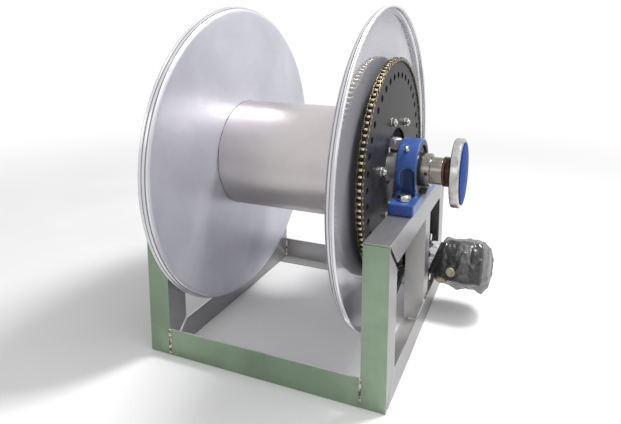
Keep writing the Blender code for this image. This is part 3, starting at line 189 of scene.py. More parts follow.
def filleted(corners, radius, closed=True, steps=4):
    """The outline with its corners rounded. A corner may bring its own radius as a third number."""
    rounded = []
    count = len(corners)
    for i, corner in enumerate(corners):
        here = Vector(corner[:2])
        reach = corner[2] if len(corner) > 2 else radius
        if reach == 0 or (not closed and i in (0, count - 1)):
            rounded.append(tuple(here))
            continue
        before = Vector(corners[i - 1][:2]) - here
        after = Vector(corners[(i + 1) % count][:2]) - here
        start = here + before.normalized() * min(reach, before.length * 0.48)
        end = here + after.normalized() * min(reach, after.length * 0.48)
        for step in range(steps + 1):
            share = step / steps
            near = start * (1 - share) ** 2 + end * share ** 2
            rounded.append(tuple(near + here * 2 * share * (1 - share)))
    return rounded


def turned(profile, steps=64, closed=True, centre=REEL, wobble=None):
    """A mesh turned about a line along X through the centre, from (x, radius) points."""
    bm = bmesh.new()
    rings = []
    for x, radius in profile:
        if radius < 1e-6:
            rings.append([bm.verts.new((x, *centre))])
            continue
        ring = []
        for i in range(steps):
            angle = 2 * math.pi * i / steps
            reach = radius + (wobble(x, angle) if wobble else 0)
            ring.append(bm.verts.new((x, *polar(reach, angle, centre))))
        rings.append(ring)
    pairs = list(zip(rings, rings[1:]))
    if closed:
        pairs.append((rings[-1], rings[0]))
    for first, second in pairs:
        count = max(len(first), len(second))
        for i in range(count):
            j = (i + 1) % count
            corners = [first[i % len(first)], first[j % len(first)]]
            corners += [second[j % len(second)], second[i % len(second)]]
            corners = list(dict.fromkeys(corners))
            if len(corners) > 2:
                bm.faces.new(corners)
    return outside_out(bm)


def lathe(corners, rounding, steps=64, rounds=3, closed=True, centre=REEL):
    """A turned mesh from the (x, radius) corners of its section, with those corners rounded."""
    return turned(filleted(corners, rounding, closed, rounds), steps, closed, centre)


def rod(corners, rounding, steps=40, rounds=3):
    """A solid turned mesh along the X axis, to be stood elsewhere."""
    return lathe(corners, rounding, steps, rounds, False, (0, 0))


def drill(radius, x_from, x_to, steps=32, centre=(0, 0)):
    """A plain cylinder along X, to cut a hole with."""
    return turned([(x_from, 0), (x_from, radius), (x_to, radius), (x_to, 0)], steps, False, centre)


def skin(bm, rings, ends=True):
    """Faces from each ring of vertices to the next, and over both end rings."""
    count = len(rings[0])
    for first, second in zip(rings, rings[1:]):
        for i in range(count):
            j = (i + 1) % count
            bm.faces.new((first[i], first[j], second[j], second[i]))
    if ends:
        bm.faces.new(rings[0])
        bm.faces.new(rings[-1])


def outside_out(bm):
    """The finished mesh, with all its faces turned outward."""
    bmesh.ops.recalc_face_normals(bm, faces=bm.faces[:])
    return mesh_from(bm)


def mesh_from(bm):
    mesh = bpy.data.meshes.new("made")
    bm.to_mesh(mesh)
    bm.free()
    return mesh


def baked(obj):
    """The mesh of an object with its modifiers applied; the object goes."""
    depsgraph = bpy.context.evaluated_depsgraph_get()
    mesh = bpy.data.meshes.new_from_object(obj.evaluated_get(depsgraph), depsgraph=depsgraph)
    bpy.data.objects.remove(obj)
    return mesh


def scratch(data):
    """A passing object in the scene, for modifiers to work on."""
    obj = bpy.data.objects.new("scratch", data)
    bpy.context.scene.collection.objects.link(obj)
    return obj


def plate(outlines, x_from, x_to, bevel):
    """A flat plate across X, from (y, z) outlines, with its edges and its holes' edges rounded."""
    curve = bpy.data.curves.new("plate", "CURVE")
    curve.dimensions = "2D"
    curve.fill_mode = "BOTH"
    curve.bevel_depth = bevel
    curve.bevel_resolution = 0
    curve.offset = -bevel
    curve.extrude = (x_to - x_from) / 2 - bevel
    for outline in outlines:
        spline = curve.splines.new("POLY")
        spline.points.add(len(outline) - 1)
        spline.use_cyclic_u = True
        for point, place in zip(spline.points, outline):
            point.co = (place[0], place[1], 0, 1)
    mesh = baked(scratch(curve))
    across = Matrix(((0, 0, 1, (x_from + x_to) / 2), (1, 0, 0, 0), (0, 1, 0, 0), (0, 0, 0, 1)))
    mesh.transform(across)
    return welded(mesh)


def welded(mesh):
    """The mesh with its doubled vertices joined."""
    bm = bmesh.new()
    bm.from_mesh(mesh)
    bmesh.ops.remove_doubles(bm, verts=bm.verts[:], dist=1e-6)
    bmesh.ops.dissolve_degenerate(bm, dist=1e-7, edges=bm.edges[:])
    bmesh.ops.recalc_face_normals(bm, faces=bm.faces[:])
    bm.to_mesh(mesh)
    bm.free()
    return mesh


def moved(mesh, place=(0, 0, 0), turn=0.0, about="X"):
    """Turns a mesh by degrees about an axis through the origin, and then shifts it."""
    mesh.transform(Matrix.Translation(place) @ Matrix.Rotation(math.radians(turn), 4, about))
    return mesh


def merged(meshes):
    """All these meshes in one, without joining their surfaces."""
    bm = bmesh.new()
    for mesh in meshes:
        bm.from_mesh(mesh)
        bpy.data.meshes.remove(mesh)
    return mesh_from(bm)


def cut(mesh, *tools):
    """The mesh with each tool taken out of it."""
    for tool in tools:
        body = scratch(mesh)
        cutter = scratch(tool)
        taking = body.modifiers.new("cut", "BOOLEAN")
        taking.object = cutter
        taking.operation = "DIFFERENCE"
        taking.solver = "EXACT"
        mesh = baked(body)
        bpy.data.objects.remove(cutter)
    return mesh


def piece(name, mesh, finish, body, slot, *replaced, angle=32, others=(), where=None):
    """Names a mesh, shades it smooth between its sharp edges, and sets it in the frame.

    Every face takes the finish, or the one of the others whose number, from 1, where gives it.
    """
    mesh.materials.clear()
    for shown in (finish, *others):
        mesh.materials.append(shown)
    bm = bmesh.new()
    bm.from_mesh(mesh)
    sharp = math.radians(angle)
    for face in bm.faces:
        face.smooth = True
        face.material_index = int(where(face)) if where else 0
    for edge in bm.edges:
        edge.smooth = len(edge.link_faces) != 2 or edge.calc_face_angle(0) < sharp
    bm.to_mesh(mesh)
    bm.free()
    mesh.name = name
    obj = bpy.data.objects.new(name, mesh)
    bpy.context.scene.collection.objects.link(obj)
    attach(obj, body)
    if replaced:
        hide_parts(*replaced)


def hexagon(half, x_from, x_to, domed=True):
    """A hexagon along X with its far corners turned off, as on a nut or a bolt's head."""
    corner = half / math.cos(math.pi / 6)
    steps = 48
    depth = 0.16 * half if domed else 0.0
    bm = bmesh.new()
    rings = []
    levels = [(x_from, 1.0), (x_to - depth * 2.2, 1.0), (x_to - depth, 0.6), (x_to, 0.0)]
    for x, share in levels:
        ring = []
        for i in range(steps):
            angle = 2 * math.pi * i / steps
            flat = half / math.cos((angle + math.pi / 6) % (math.pi / 3) - math.pi / 6)
            limit = half * (0.93 + 0.30 * share)
            reach = min(flat, limit) if share < 1 else flat
            top = x
            if 0 < share < 1:
                top = x_to - depth * (0.12 + (reach - half * 0.93) / (corner - half * 0.93))
            ring.append(bm.verts.new((top, *polar(reach, angle))))
        rings.append(ring)
    skin(bm, rings)
    return outside_out(bm)


def threaded(radius, x_from, x_to, pitch=0.0015):
    """A round rod along X with a thread cut in it and a turned-off end."""
    turns = max(2, int((x_to - x_from) / pitch))
    profile = [(x_from, 0), (x_from, radius * 0.86)]
    for i in range(turns):
        start = x_from + (x_to - x_from) * i / turns
        step = (x_to - x_from) / turns
        size = radius if i < turns - 1 else radius * 0.94
        profile += [(start + step * 0.35, size), (start + step * 0.65, size)]
        profile.append((start + step, radius * 0.86))
    profile.append((x_to, 0))
    return turned(profile, 20, closed=False, centre=(0, 0))


def tube(radius, bore, x_from, x_to, rounding, steps=64, rounds=3, centre=REEL):
    """A plain ring or tube along X with its edges rounded."""
    corners = [(x_from, bore), (x_from, radius), (x_to, radius), (x_to, bore)]
    return lathe(corners, rounding, steps, rounds, centre=centre)


def washer(radius, bore, x_from, x_to):
    return tube(radius, bore, x_from, x_to, min(0.0004, (x_to - x_from) * 0.3), 32, 2, (0, 0))


def bead(start, end, radius, normal, seed):
    """A rippled weld bead from start to end: a low oval ridge of small overlapping scales."""
    start, end = Vector(start), Vector(end)
    pace, lift = 0.0022, 0.55
    count = max(2, int((end - start).length / pace * 3))
    path = [start.lerp(end, i / count) for i in range(count)] + [end]
    bm = bmesh.new()
    rings = []
    up = Vector(normal).normalized()
    for i, place in enumerate(path):
        ahead = path[min(i + 1, len(path) - 1)] - path[max(i - 1, 0)]
        ahead.normalize()
        side = ahead.cross(up).normalized()
        rise = side.cross(ahead).normalized()
        grain = noise.noise(place * 420 + Vector((seed, 0, 0)))
        scale = 1 + 0.10 * math.sin(2 * math.pi * i / 3) + 0.16 * grain
        if i in (0, len(path) - 1):
            scale *= 0.45
        shift = side * radius * 0.14 * noise.noise(place * 160)
        ring = []
        for k in range(10):
            angle = 2 * math.pi * k / 10
            out = side * math.cos(angle) * radius + rise * math.sin(angle) * radius * lift
            ring.append(bm.verts.new(place + shift + out * scale))
        rings.append(ring)
    skin(bm, rings)
    return outside_out(bm)


def ring_bead(x, radius, size, seed):
    """A weld bead round the reel's axis."""

    def ripple(at, angle):
        place = Vector((math.cos(angle), math.sin(angle), at * 4)) * 34 + Vector((seed, 0, 0))
        return size * (0.22 * math.sin(angle * 190) + 0.35 * noise.noise(place))

    section = []
    for k in range(8):
        turn = k * math.pi / 4
        section.append((x + size * math.cos(turn), radius + size * 0.8 * math.sin(turn)))
    return turned(section, 384, wobble=ripple)


# ------------------------------------------------------------ finishes


def add(tree, kind, inputs=None, **settings):
    """A new node. An input given as another node's output is linked to it."""
    new = tree.nodes.new(kind)
    for name, value in settings.items():
        setattr(new, name, value)
    for name, value in (inputs or {}).items():
        if isinstance(value, bpy.types.NodeSocket):
            tree.links.new(value, new.inputs[name])
        else:
            new.inputs[name].default_value = value
    return new


def place_of(tree, scale=(1, 1, 1)):
    """The surface's place on the object, stretched by scale."""
    at = add(tree, "ShaderNodeTexCoord").outputs["Object"]
    return add(tree, "ShaderNodeMapping", {"Vector": at, "Scale": scale}).outputs["Vector"]


def cloud(tree, at, scale, detail=4.0, roughness=0.5, distortion=0.0):
    """A noise from about 0.25 to 0.75."""
    inputs = {"Vector": at, "Scale": scale, "Detail": detail}
    inputs.update({"Roughness": roughness, "Distortion": distortion})
    return add(tree, "ShaderNodeTexNoise", inputs).outputs["Fac"]


def ramp(tree, factor, stops, interpolation="LINEAR"):
    """A colour ramp from (place, colour) stops; a colour may be one grey number."""
    new = add(tree, "ShaderNodeValToRGB", {"Fac": factor})
    bar = new.color_ramp
    bar.interpolation = interpolation
    while len(bar.elements) < len(stops):
        bar.elements.new(0.5)
    for element, (place, shade) in zip(bar.elements, stops):
        element.position = place
        tone = (shade, shade, shade) if isinstance(shade, (int, float)) else tuple(shade)
        element.color = (*tone, 1)
    return new.outputs["Color"]


def between(tree, factor, low, high):
    """A number that runs from low to high as the factor runs from 0 to 1."""
    inputs = {"Value": factor, "To Min": low, "To Max": high}
    return add(tree, "ShaderNodeMapRange", inputs).outputs["Result"]


def mixed(tree, factor, first, second):
    """The first colour where the factor is 0, the second where it is 1."""
    new = add(tree, "ShaderNodeMix", data_type="RGBA")
    for index, value in ((0, factor), (6, first), (7, second)):
        if isinstance(value, bpy.types.NodeSocket):
            tree.links.new(value, new.inputs[index])
        elif index == 0:
            new.inputs[index].default_value = value
        else:
            new.inputs[index].default_value = (*value, 1)
    return new.outputs[2]


def maths(tree, operation, first, second=0.0):
    return add(tree, "ShaderNodeMath", {0: first, 1: second}, operation=operation).outputs[0]


def bumped(tree, height, strength, distance=0.001, below=None):
    """The surface's normal bent by a height, on top of another bump if one is given."""
    inputs = {"Height": height, "Strength": strength, "Distance": distance}
    if below is not None:
        inputs["Normal"] = below
    return add(tree, "ShaderNodeBump", inputs).outputs["Normal"]


def parts_of(tree, space="Object"):
    """The X, Y and Z of the surface's place, or with Normal of the way it faces."""
    at = add(tree, "ShaderNodeTexCoord").outputs[space]
    return add(tree, "ShaderNodeSeparateXYZ", {"Vector": at}).outputs


def times(tree, first, second):
    return maths(tree, "MULTIPLY", first, second)


def plus(tree, first, second):
    return maths(tree, "ADD", first, second)


def axis_distance(tree, centre):
    """How far the surface is from a line along X through the centre, and its X, Y and Z."""
    parts = parts_of(tree)
    across = maths(tree, "SUBTRACT", parts["Y"], centre[0])
    up = maths(tree, "SUBTRACT", parts["Z"], centre[1])
    square = plus(tree, times(tree, across, across), times(tree, up, up))
    return maths(tree, "SQRT", square), parts


def worn(tree):
    """Where edges stand out, from 0 to 1, for wear along them."""
    return between(tree, add(tree, "ShaderNodeNewGeometry").outputs["Pointiness"], 0.0, 1.0)


def finish(name, base, metallic=0.0, roughness=0.5, **sockets):
    """A material with one Principled shader, and the tree to add its detail to."""
    material = bpy.data.materials.new(name)
    material.use_nodes = True
    tree = material.node_tree
    tree.nodes.clear()
    shader = add(tree, "ShaderNodeBsdfPrincipled")
    shader.inputs["Base Color"].default_value = (*base, 1)
    shader.inputs["Metallic"].default_value = metallic
    shader.inputs["Roughness"].default_value = roughness
    for socket, value in sockets.items():
        shader.inputs[socket.replace("_", " ")].default_value = value
    output = add(tree, "ShaderNodeOutputMaterial", {"Surface": shader.outputs["BSDF"]})
    output.location = (400, 0)
    material.diffuse_color = (*base, 1)
    return material, tree, shader


def feed(tree, shader, **sockets):
    """Links node outputs to the shader's sockets, named with _ for a space."""
    for socket, value in sockets.items():
        tree.links.new(value, shader.inputs[socket.replace("_", " ")])


def scaled(base, share):
    """A colour made darker or lighter."""
    return tuple(min(1.0, part * share) for part in base)


FINISHES = {}


def finish_of(name):
    """A named finish, made the first time that it is asked for."""
    if name not in FINISHES:
        FINISHES[name] = MAKERS[name]()
    return FINISHES[name]


def sheet_finish(name, base, ring_scale, tint, rough, waves, metallic, brush=0.05, shade_lines=()):
    """Satin stainless sheet: clouded patches, fine turned brushing, handling marks, and dark
    painted shade lines along X where any are given.
    """
    material, tree, shader = finish(name, base, metallic=metallic, roughness=0.3)
    at = place_of(tree)
    patches = cloud(tree, at, 7.0, detail=5, roughness=0.55, distortion=0.6)
    fine = cloud(tree, at, 60.0, detail=6, roughness=0.65)
    reach, parts = axis_distance(tree, REEL)
    rings = cloud(tree, add(tree, "ShaderNodeCombineXYZ", {
        "X": times(tree, reach, ring_scale),
        "Y": times(tree, parts["X"], ring_scale),
    }).outputs["Vector"], 1.0, detail=5, roughness=0.7)
    shade = ramp(tree, patches, [(0.28, scaled(base, 0.90)), (0.5, base), (0.72, tint)])
    shade = mixed(tree, between(tree, fine, 0.0, 0.35), shade, scaled(base, 0.84))
    spots = ramp(tree, cloud(tree, at, 23.0, detail=8, roughness=0.7), [(0.66, 0.0), (0.72, 1.0)])
    shade = mixed(tree, times(tree, spots, 0.20), shade, scaled(base, 0.70))
    # Painted shade: a dark band at each of these places along X, for the shade in the rim's crevices.
    for shade_line_x in shade_lines:
        off = maths(tree, "ABSOLUTE", maths(tree, "SUBTRACT", parts["X"], shade_line_x))
        line = ramp(tree, times(tree, off, 100.0), [(0.07, 1.0), (0.12, 0.0)])
        shade = mixed(tree, times(tree, line, 0.85), shade, (0.10, 0.10, 0.11))
    dull = plus(tree, between(tree, patches, *rough), between(tree, rings, -0.02, 0.03))
    wavy = bumped(tree, cloud(tree, at, 3.2, detail=2), waves, 0.012)
    brushed = bumped(tree, rings, brush, 0.0006, wavy)
    feed(tree, shader, Base_Color=shade, Roughness=dull, Normal=brushed)
    return material


def angle_finish(name, base):
    """Brushed stainless angle: lengthwise lines, dull patches, a green-grey tint on the faces that
    look forward, low upward faces and the middle post's front painted paler as painted light,
    and brown heat marks by the front rail's welds."""
    material, tree, shader = finish(name, base, metallic=0.8, roughness=0.38)
    along_up = cloud(tree, place_of(tree, (240, 240, 6)), 1.0, detail=5, roughness=0.65)
    patches = cloud(tree, place_of(tree), 9.0, detail=5, roughness=0.6, distortion=0.4)
    parts = parts_of(tree)
    facing = parts_of(tree, "Normal")
    turned_to = [(0.55, 0.0), (0.90, 1.0)]
    forward = ramp(tree, times(tree, facing["Y"], -1.0), turned_to)
    ahead = ramp(tree, times(tree, parts["Y"], -1.0), [(0.16, 0.0), (0.20, 1.0)])
    tinted = times(tree, forward, ahead)
    # Painted light: low faces that look up, and the middle post's front, are painted paler as if lit.
    flat = times(tree, ramp(tree, facing["Z"], turned_to),
                 ramp(tree, parts["Z"], [(0.06, 1.0), (0.10, 0.0)]))
    middle_post = [(0.045, 0.0), (0.052, 1.0), (0.115, 1.0), (0.125, 0.0)]
    post = times(tree, forward, ramp(tree, parts["Y"], middle_post))
    painted_light_mask = maths(tree, "MAXIMUM", flat, post)
    light = mixed(tree, painted_light_mask, (0.39, 0.38, 0.39), (0.74, 0.73, 0.71))
    light = mixed(tree, tinted, light, scaled(base, 1.14))
    dark = mixed(tree, painted_light_mask, (0.29, 0.285, 0.295), (0.58, 0.57, 0.56))
    dark = mixed(tree, tinted, dark, scaled(base, 0.80))
    shade = mixed(tree, ramp(tree, patches, [(0.25, 0.0), (0.75, 1.0)]), dark, light)
    shade = mixed(tree, between(tree, along_up, 0.0, 0.25), shade, dark)
    heat = None
    for end in span("front_cross_rail", 0):
        off = maths(tree, "ABSOLUTE", maths(tree, "SUBTRACT", parts["X"], end))
        near = ramp(tree, times(tree, off, 10.0), [(0.03, 1.0), (0.22, 0.0)], "EASE")
        heat = near if heat is None else maths(tree, "MAXIMUM", heat, near)
    low = ramp(tree, parts["Z"], [(0.0, 1.0), (0.055, 1.0), (0.085, 0.0)], "EASE")
    ends = ramp(tree, maths(tree, "ABSOLUTE", parts["Y"]), [(0.225, 0.0), (0.268, 1.0)], "EASE")
    mottle = ramp(tree, cloud(tree, place_of(tree), 60.0, detail=4), [(0.34, 0.2), (0.62, 1.0)])
    heat = times(tree, times(tree, times(tree, low, ends), mottle), heat)
    shade = mixed(tree, times(tree, heat, 0.35), shade, (0.25, 0.21, 0.17))
    rough = plus(tree, between(tree, patches, 0.30, 0.44), between(tree, along_up, -0.04, 0.06))
    lines = bumped(tree, along_up, 0.12, 0.0004)
    wavy = bumped(tree, cloud(tree, place_of(tree), 5.0, detail=2), 0.25, 0.006, lines)
    feed(tree, shader, Base_Color=shade, Roughness=rough, Normal=wavy)
    return material


def machined_finish(name, base, centre=REEL, rough_from=0.14, rough_to=0.30, metallic=1.0):
    """Turned steel: fine tool rings, with darker stains."""
    material, tree, shader = finish(name, base, metallic=metallic, roughness=0.22)
    reach, parts = axis_distance(tree, centre)
    rings = cloud(tree, add(tree, "ShaderNodeCombineXYZ", {
        "X": times(tree, parts["X"], 900.0),
        "Y": times(tree, reach, 900.0),
    }).outputs["Vector"], 1.0, detail=4, roughness=0.6)
    stain = cloud(tree, place_of(tree), 55.0, detail=5, roughness=0.6, distortion=0.5)
    shade = ramp(tree, stain, [(0.30, scaled(base, 0.70)), (0.55, base), (0.80, scaled(base, 1.12))])
    shade = mixed(tree, between(tree, rings, 0.0, 0.3), shade, scaled(base, 0.65))
    rough = plus(tree, between(tree, stain, rough_from, rough_to), between(tree, rings, -0.03, 0.05))
    feed(tree, shader, Base_Color=shade, Roughness=rough, Normal=bumped(tree, rings, 0.10, 0.0002))
    return material


def mottled_finish(name, base, patch, stops, rough, bump, grain=None, **settings):
    """A finish whose colour and gloss follow one cloud of patches, which also stands out a little.

    The patch, and a grain that stands out in its place, are a cloud's scale, detail and roughness.
    """
    material, tree, shader = finish(name, base, **settings)
    patches = cloud(tree, place_of(tree), *patch)
    height = cloud(tree, place_of(tree), *grain) if grain else patches
    feed(tree, shader, Base_Color=ramp(tree, patches, stops), Roughness=between(tree, patches, *rough))
    feed(tree, shader, Normal=bumped(tree, height, *bump))
    return material


def plate_finish():
    """Satin black sprocket plate with faint turned rings, dust and oil."""
    base = tuple(colours().plate)
    material, tree, shader = finish("sprocket_black", base, roughness=0.27, Specular_IOR_Level=0.07)
    reach, parts = axis_distance(tree, REEL)
    rings = cloud(tree, add(tree, "ShaderNodeCombineXYZ", {
        "X": times(tree, reach, 260.0),
    }).outputs["Vector"], 1.0, detail=5, roughness=0.7)
    dust = cloud(tree, place_of(tree), 26.0, detail=7, roughness=0.68)
    shade = ramp(tree, dust, [(0.35, base), (0.62, scaled(base, 1.7)), (0.8, scaled(base, 3.6))])
    rough = plus(tree, between(tree, dust, 0.20, 0.38), between(tree, rings, -0.04, 0.06))
    wavy = bumped(tree, cloud(tree, place_of(tree), 9.0, 2), 0.12, 0.004)
    bump = bumped(tree, rings, 0.10, 0.0003, wavy)
    feed(tree, shader, Base_Color=shade, Roughness=rough, Normal=bump)
    return material


def chain_finish():
    """Oiled bronze-coloured chain: bright worn faces, brown oil in the low places."""
    base = tuple(colours().chain)
    material, tree, shader = finish("chain_bronze", base, metallic=1.0, roughness=0.28)
    oil = cloud(tree, place_of(tree), 130.0, detail=5, roughness=0.65)
    shade = ramp(tree, oil, [(0.30, scaled(base, 0.45)), (0.48, base), (0.74, (0.90, 0.80, 0.58))])
    edge = ramp(tree, worn(tree), [(0.50, 0.0), (0.60, 1.0)])
    shade = mixed(tree, times(tree, edge, 0.5), shade, (0.80, 0.74, 0.58))
    feed(tree, shader, Base_Color=shade, Roughness=between(tree, oil, 0.18, 0.42))
    feed(tree, shader, Normal=bumped(tree, oil, 0.08, 0.0004))
    return material


def chain_edge_finish():
    """The narrow edges of the link plates: dark with oil, rubbed bright in places."""
    stops = [(0.40, (0.035, 0.027, 0.018)), (0.54, (0.17, 0.13, 0.07)), (0.70, (0.40, 0.33, 0.21))]
    return mottled_finish(
        "chain_edge", (0.16, 0.12, 0.07), (170.0, 5, 0.65), stops, (0.2, 0.45), (0.08, 0.0004),
        metallic=1.0, roughness=0.3,
    )


def chain_side_finish():
    """The flat sides of the link plates: black-brown, much darker than their edges."""
    stops = [(0.35, (0.022, 0.018, 0.013)), (0.55, (0.075, 0.060, 0.038)), (0.78, (0.13, 0.105, 0.065))]
    return mottled_finish(
        "chain_side", (0.06, 0.05, 0.035), (150.0, 5, 0.65), stops, (0.2, 0.45), (0.08, 0.0004),
        metallic=0.9, roughness=0.3,
    )


def zinc_finish():
    """Bright zinc: yellowish patches and small rubs."""
    base = tuple(colours().zinc)
    stops = [(0.30, scaled(base, 0.72)), (0.52, base), (0.72, (0.68, 0.66, 0.52))]
    return mottled_finish(
        "bright_zinc", base, (90.0, 5, 0.6), stops, (0.14, 0.34), (0.05, 0.0002), (300.0, 3),
        metallic=1.0, roughness=0.22,
    )


def casting_finish(name="blue_enamel", share=1.0):
    """Blue enamel over a sand casting: grainy, orange-peeled, thin and pale along its edges."""
    base = scaled(colours().casting, share)
    material, tree, shader = finish(name, base, roughness=0.32, Specular_IOR_Level=0.40)
    patch = cloud(tree, place_of(tree), 30.0, detail=5, roughness=0.6)
    grain = cloud(tree, place_of(tree), 260.0, detail=4, roughness=0.6)
    shade = ramp(tree, patch, [(0.3, scaled(base, 0.72)), (0.55, base), (0.8, scaled(base, 1.35))])
    edge = ramp(tree, worn(tree), [(0.53, 0.0), (0.64, 1.0)])
    rub = ramp(tree, cloud(tree, place_of(tree), 120.0, detail=5), [(0.42, 0.0), (0.60, 1.0)])
    rub = times(tree, edge, rub)
    shade = mixed(tree, times(tree, rub, 0.75), shade, (0.34, 0.40, 0.52))
    rough = plus(tree, between(tree, patch, 0.22, 0.40), between(tree, grain, -0.04, 0.06))
    peel = bumped(tree, cloud(tree, place_of(tree), 110.0, detail=2), 0.30, 0.0006)
    feed(tree, shader, Base_Color=shade, Roughness=rough, Normal=bumped(tree, grain, 0.22, 0.0003, peel))
    return material


def cap_finish():
    """Blue moulded plastic with a fine moulded texture and scuffs."""
    base = tuple(colours().cap)
    material, tree, shader = finish("blue_plastic", base, roughness=0.32, Specular_IOR_Level=0.004)
    patch = cloud(tree, place_of(tree), 40.0, detail=4)
    streaks = cloud(tree, place_of(tree, (60, 60, 420)), 1.0, detail=6)
    scuff = ramp(tree, streaks, [(0.60, 0.0), (0.70, 1.0)])
    shade = ramp(tree, patch, [(0.3, scaled(base, 0.80)), (0.6, base), (0.85, scaled(base, 1.2))])
    shade = mixed(tree, times(tree, scuff, 0.08), shade, (0.35, 0.45, 0.72))
    feed(tree, shader, Base_Color=shade, Roughness=between(tree, patch, 0.24, 0.36))
    feed(tree, shader, Normal=bumped(tree, patch, 0.10, 0.0012))
    return material


def blued_finish():
    """Steel tinted by heat in bands along the shaft: straw, brown, purple-black."""
    material, tree, shader = finish("heat_tinted", (0.12, 0.07, 0.05), metallic=1.0, roughness=0.28)
    along = parts_of(tree)["X"]
    drift = between(tree, cloud(tree, place_of(tree), 30.0, detail=3), -0.10, 0.10)
    low, high = span("swivel_sleeve", 0)
    share = add(tree, "ShaderNodeMapRange", {"Value": along, "From Min": low, "From Max": high})
    factor = plus(tree, share.outputs["Result"], drift)
    shade = ramp(tree, factor, [
        (0.00, (0.32, 0.17, 0.07)), (0.12, (0.10, 0.045, 0.026)), (0.26, (0.030, 0.018, 0.015)),
        (0.50, (0.045, 0.030, 0.024)), (0.70, (0.016, 0.011, 0.010)), (1.00, (0.042, 0.032, 0.027)),
    ])
    rings = cloud(tree, place_of(tree, (700, 6, 6)), 1.0, detail=4)
    shade = mixed(tree, between(tree, rings, 0.0, 0.45), shade, (0.05, 0.03, 0.03))
    feed(tree, shader, Base_Color=shade, Roughness=between(tree, rings, 0.18, 0.38))
    feed(tree, shader, Normal=bumped(tree, rings, 0.10, 0.0003))
    return material


def iron_finish():
    """Black paint over cast iron, with a cast grain, dust and grease."""
    base = tuple(colours().iron)
    stops = [(0.35, base), (0.62, scaled(base, 1.8)), (0.82, (0.10, 0.095, 0.09))]
    return mottled_finish(
        "motor_black", base, (24.0, 6, 0.66), stops, (0.28, 0.55), (0.22, 0.0004), (240.0, 4, 0.6),
        roughness=0.4,
    )


def rubber_finish():
    """Dull black rubber."""
    return mottled_finish(
        "black_rubber", (0.018, 0.018, 0.018), (200.0, 5, 0.6), [(0.3, 0.012), (0.7, 0.032)],
        (0.5, 0.75), (0.2, 0.0003), roughness=0.6,
    )


def plug_finish():
    """Dusty yellow plastic."""
    base = tuple(colours().plug)
    stops = [(0.3, scaled(base, 0.72)), (0.55, base), (0.8, scaled(base, 1.2))]
    return mottled_finish(
        "plug_plastic", base, (120.0, 5, 0.6), stops, (0.35, 0.6), (0.15, 0.0003),
        roughness=0.45, Subsurface_Weight=0.05,
    )


def nylon_finish():
    """Black nylon strap with fine ribs."""
    black = (0.010, 0.010, 0.011)
    material, tree, shader = finish("black_nylon", black, roughness=0.5, Specular_IOR_Level=0.2)
    grain = cloud(tree, place_of(tree), 160.0, detail=4)
    shade = ramp(tree, grain, [(0.3, 0.007), (0.7, 0.014)])
    ribs = add(tree, "ShaderNodeTexWave", {
        "Vector": place_of(tree), "Scale": 90.0, "Distortion": 0.0,
    }, bands_direction="Z").outputs["Fac"]
    feed(tree, shader, Base_Color=shade, Roughness=between(tree, grain, 0.28, 0.5))
    feed(tree, shader, Normal=bumped(tree, ribs, 0.3, 0.0004))
    return material


def film_finish():
    """Thin film over a dark motor: dark below, painted paler towards the top as light on it,
    painted highlights along its folds, paler where thicker, and a pale tail with painted highlights.
    """
    base = tuple(colours().film)
    material, tree, shader = finish("clear_film", base, roughness=0.16, Coat_Weight=0.15)
    at = place_of(tree)
    parts = parts_of(tree)
    folds = cloud(tree, at, 8.0, detail=2, roughness=0.45, distortion=1.0)
    # Painted highlight: the crests of the folds are painted pale.
    ridge = ramp(tree, maths(tree, "ABSOLUTE", maths(tree, "SUBTRACT", folds, 0.5)),
                 [(0.0, 1.0), (0.010, 0.35), (0.030, 0.0)])
    thick = ramp(tree, cloud(tree, at, 7.0, detail=3), [(0.48, 0.0), (0.70, 1.0)])
    # Painted light: the film is painted paler towards the top, as light falling on it.
    above = add(tree, "ShaderNodeMapRange", {
        "Value": parts["Z"], "From Min": MOTOR[1] - 0.02, "From Max": MOTOR[1] + 0.055,
    }).outputs["Result"]
    # The tail beyond the tie is painted pale: gathered film, with painted highlights on its crumples.
    neck = span("motor_film", 0)[1] - FILM_LENGTH
    leaning = times(tree, maths(tree, "SUBTRACT", parts["Z"], MOTOR[1]), TIE_LEAN)
    tail = add(tree, "ShaderNodeMapRange", {
        "Value": maths(tree, "SUBTRACT", parts["X"], leaning),
        "From Min": neck + 0.006, "From Max": neck + 0.003,
    }).outputs["Result"]
    # Painted light and highlights, with paler thicker patches, lift the film's colour from dark to pale.
    pale = plus(tree, times(tree, above, 0.42), times(tree, thick, 0.30))
    pale = plus(tree, pale, times(tree, ridge, 0.12))
    pale = plus(tree, pale, times(tree, tail, 0.8))
    stops = [(0.0, scaled(base, 0.012)), (0.42, scaled(base, 0.06)), (1.0, scaled(base, 0.85))]
    shade = ramp(tree, pale, stops)
    dense = plus(tree, plus(tree, 0.60, times(tree, ridge, 0.05)), times(tree, thick, 0.10))
    fine = cloud(tree, at, 30.0, detail=2, roughness=0.5, distortion=0.8)
    bump = bumped(tree, fine, 0.07, 0.0015, bumped(tree, folds, 0.28, 0.006))
    feed(tree, shader, Base_Color=shade, Alpha=dense, Normal=bump)
    feed(tree, shader, Roughness=between(tree, fine, 0.10, 0.24))
    return material


def bead_finish(name="weld_metal", share=1.0):
    """Weld metal: bright crowns between straw-coloured and black hollows."""
    stops = [
        (0.38, scaled((0.05, 0.045, 0.04), share)), (0.47, scaled((0.20, 0.18, 0.15), share)),
        (0.53, scaled((0.66, 0.65, 0.60), share)), (0.74, scaled((0.85, 0.84, 0.80), share)),
    ]
    return mottled_finish(
        name, (0.42, 0.39, 0.34), (110.0, 5, 0.6), stops, (0.25, 0.5), (0.2, 0.0003), (400.0, 3),
        metallic=0.9, roughness=0.3,
    )


def rim_shade_lines():
    """Where painted dark lines of shade run round the rims: at the step behind the bend and at
    the bead.
    """
    shade_lines = []
    for name, side in (("left_disc", -1), ("right_disc", 1)):
        low, high = span(name, 0)
        inner = high if side < 0 else low
        shade_lines += [inner + side * 0.0125, inner + side * 0.0058]
    return shade_lines


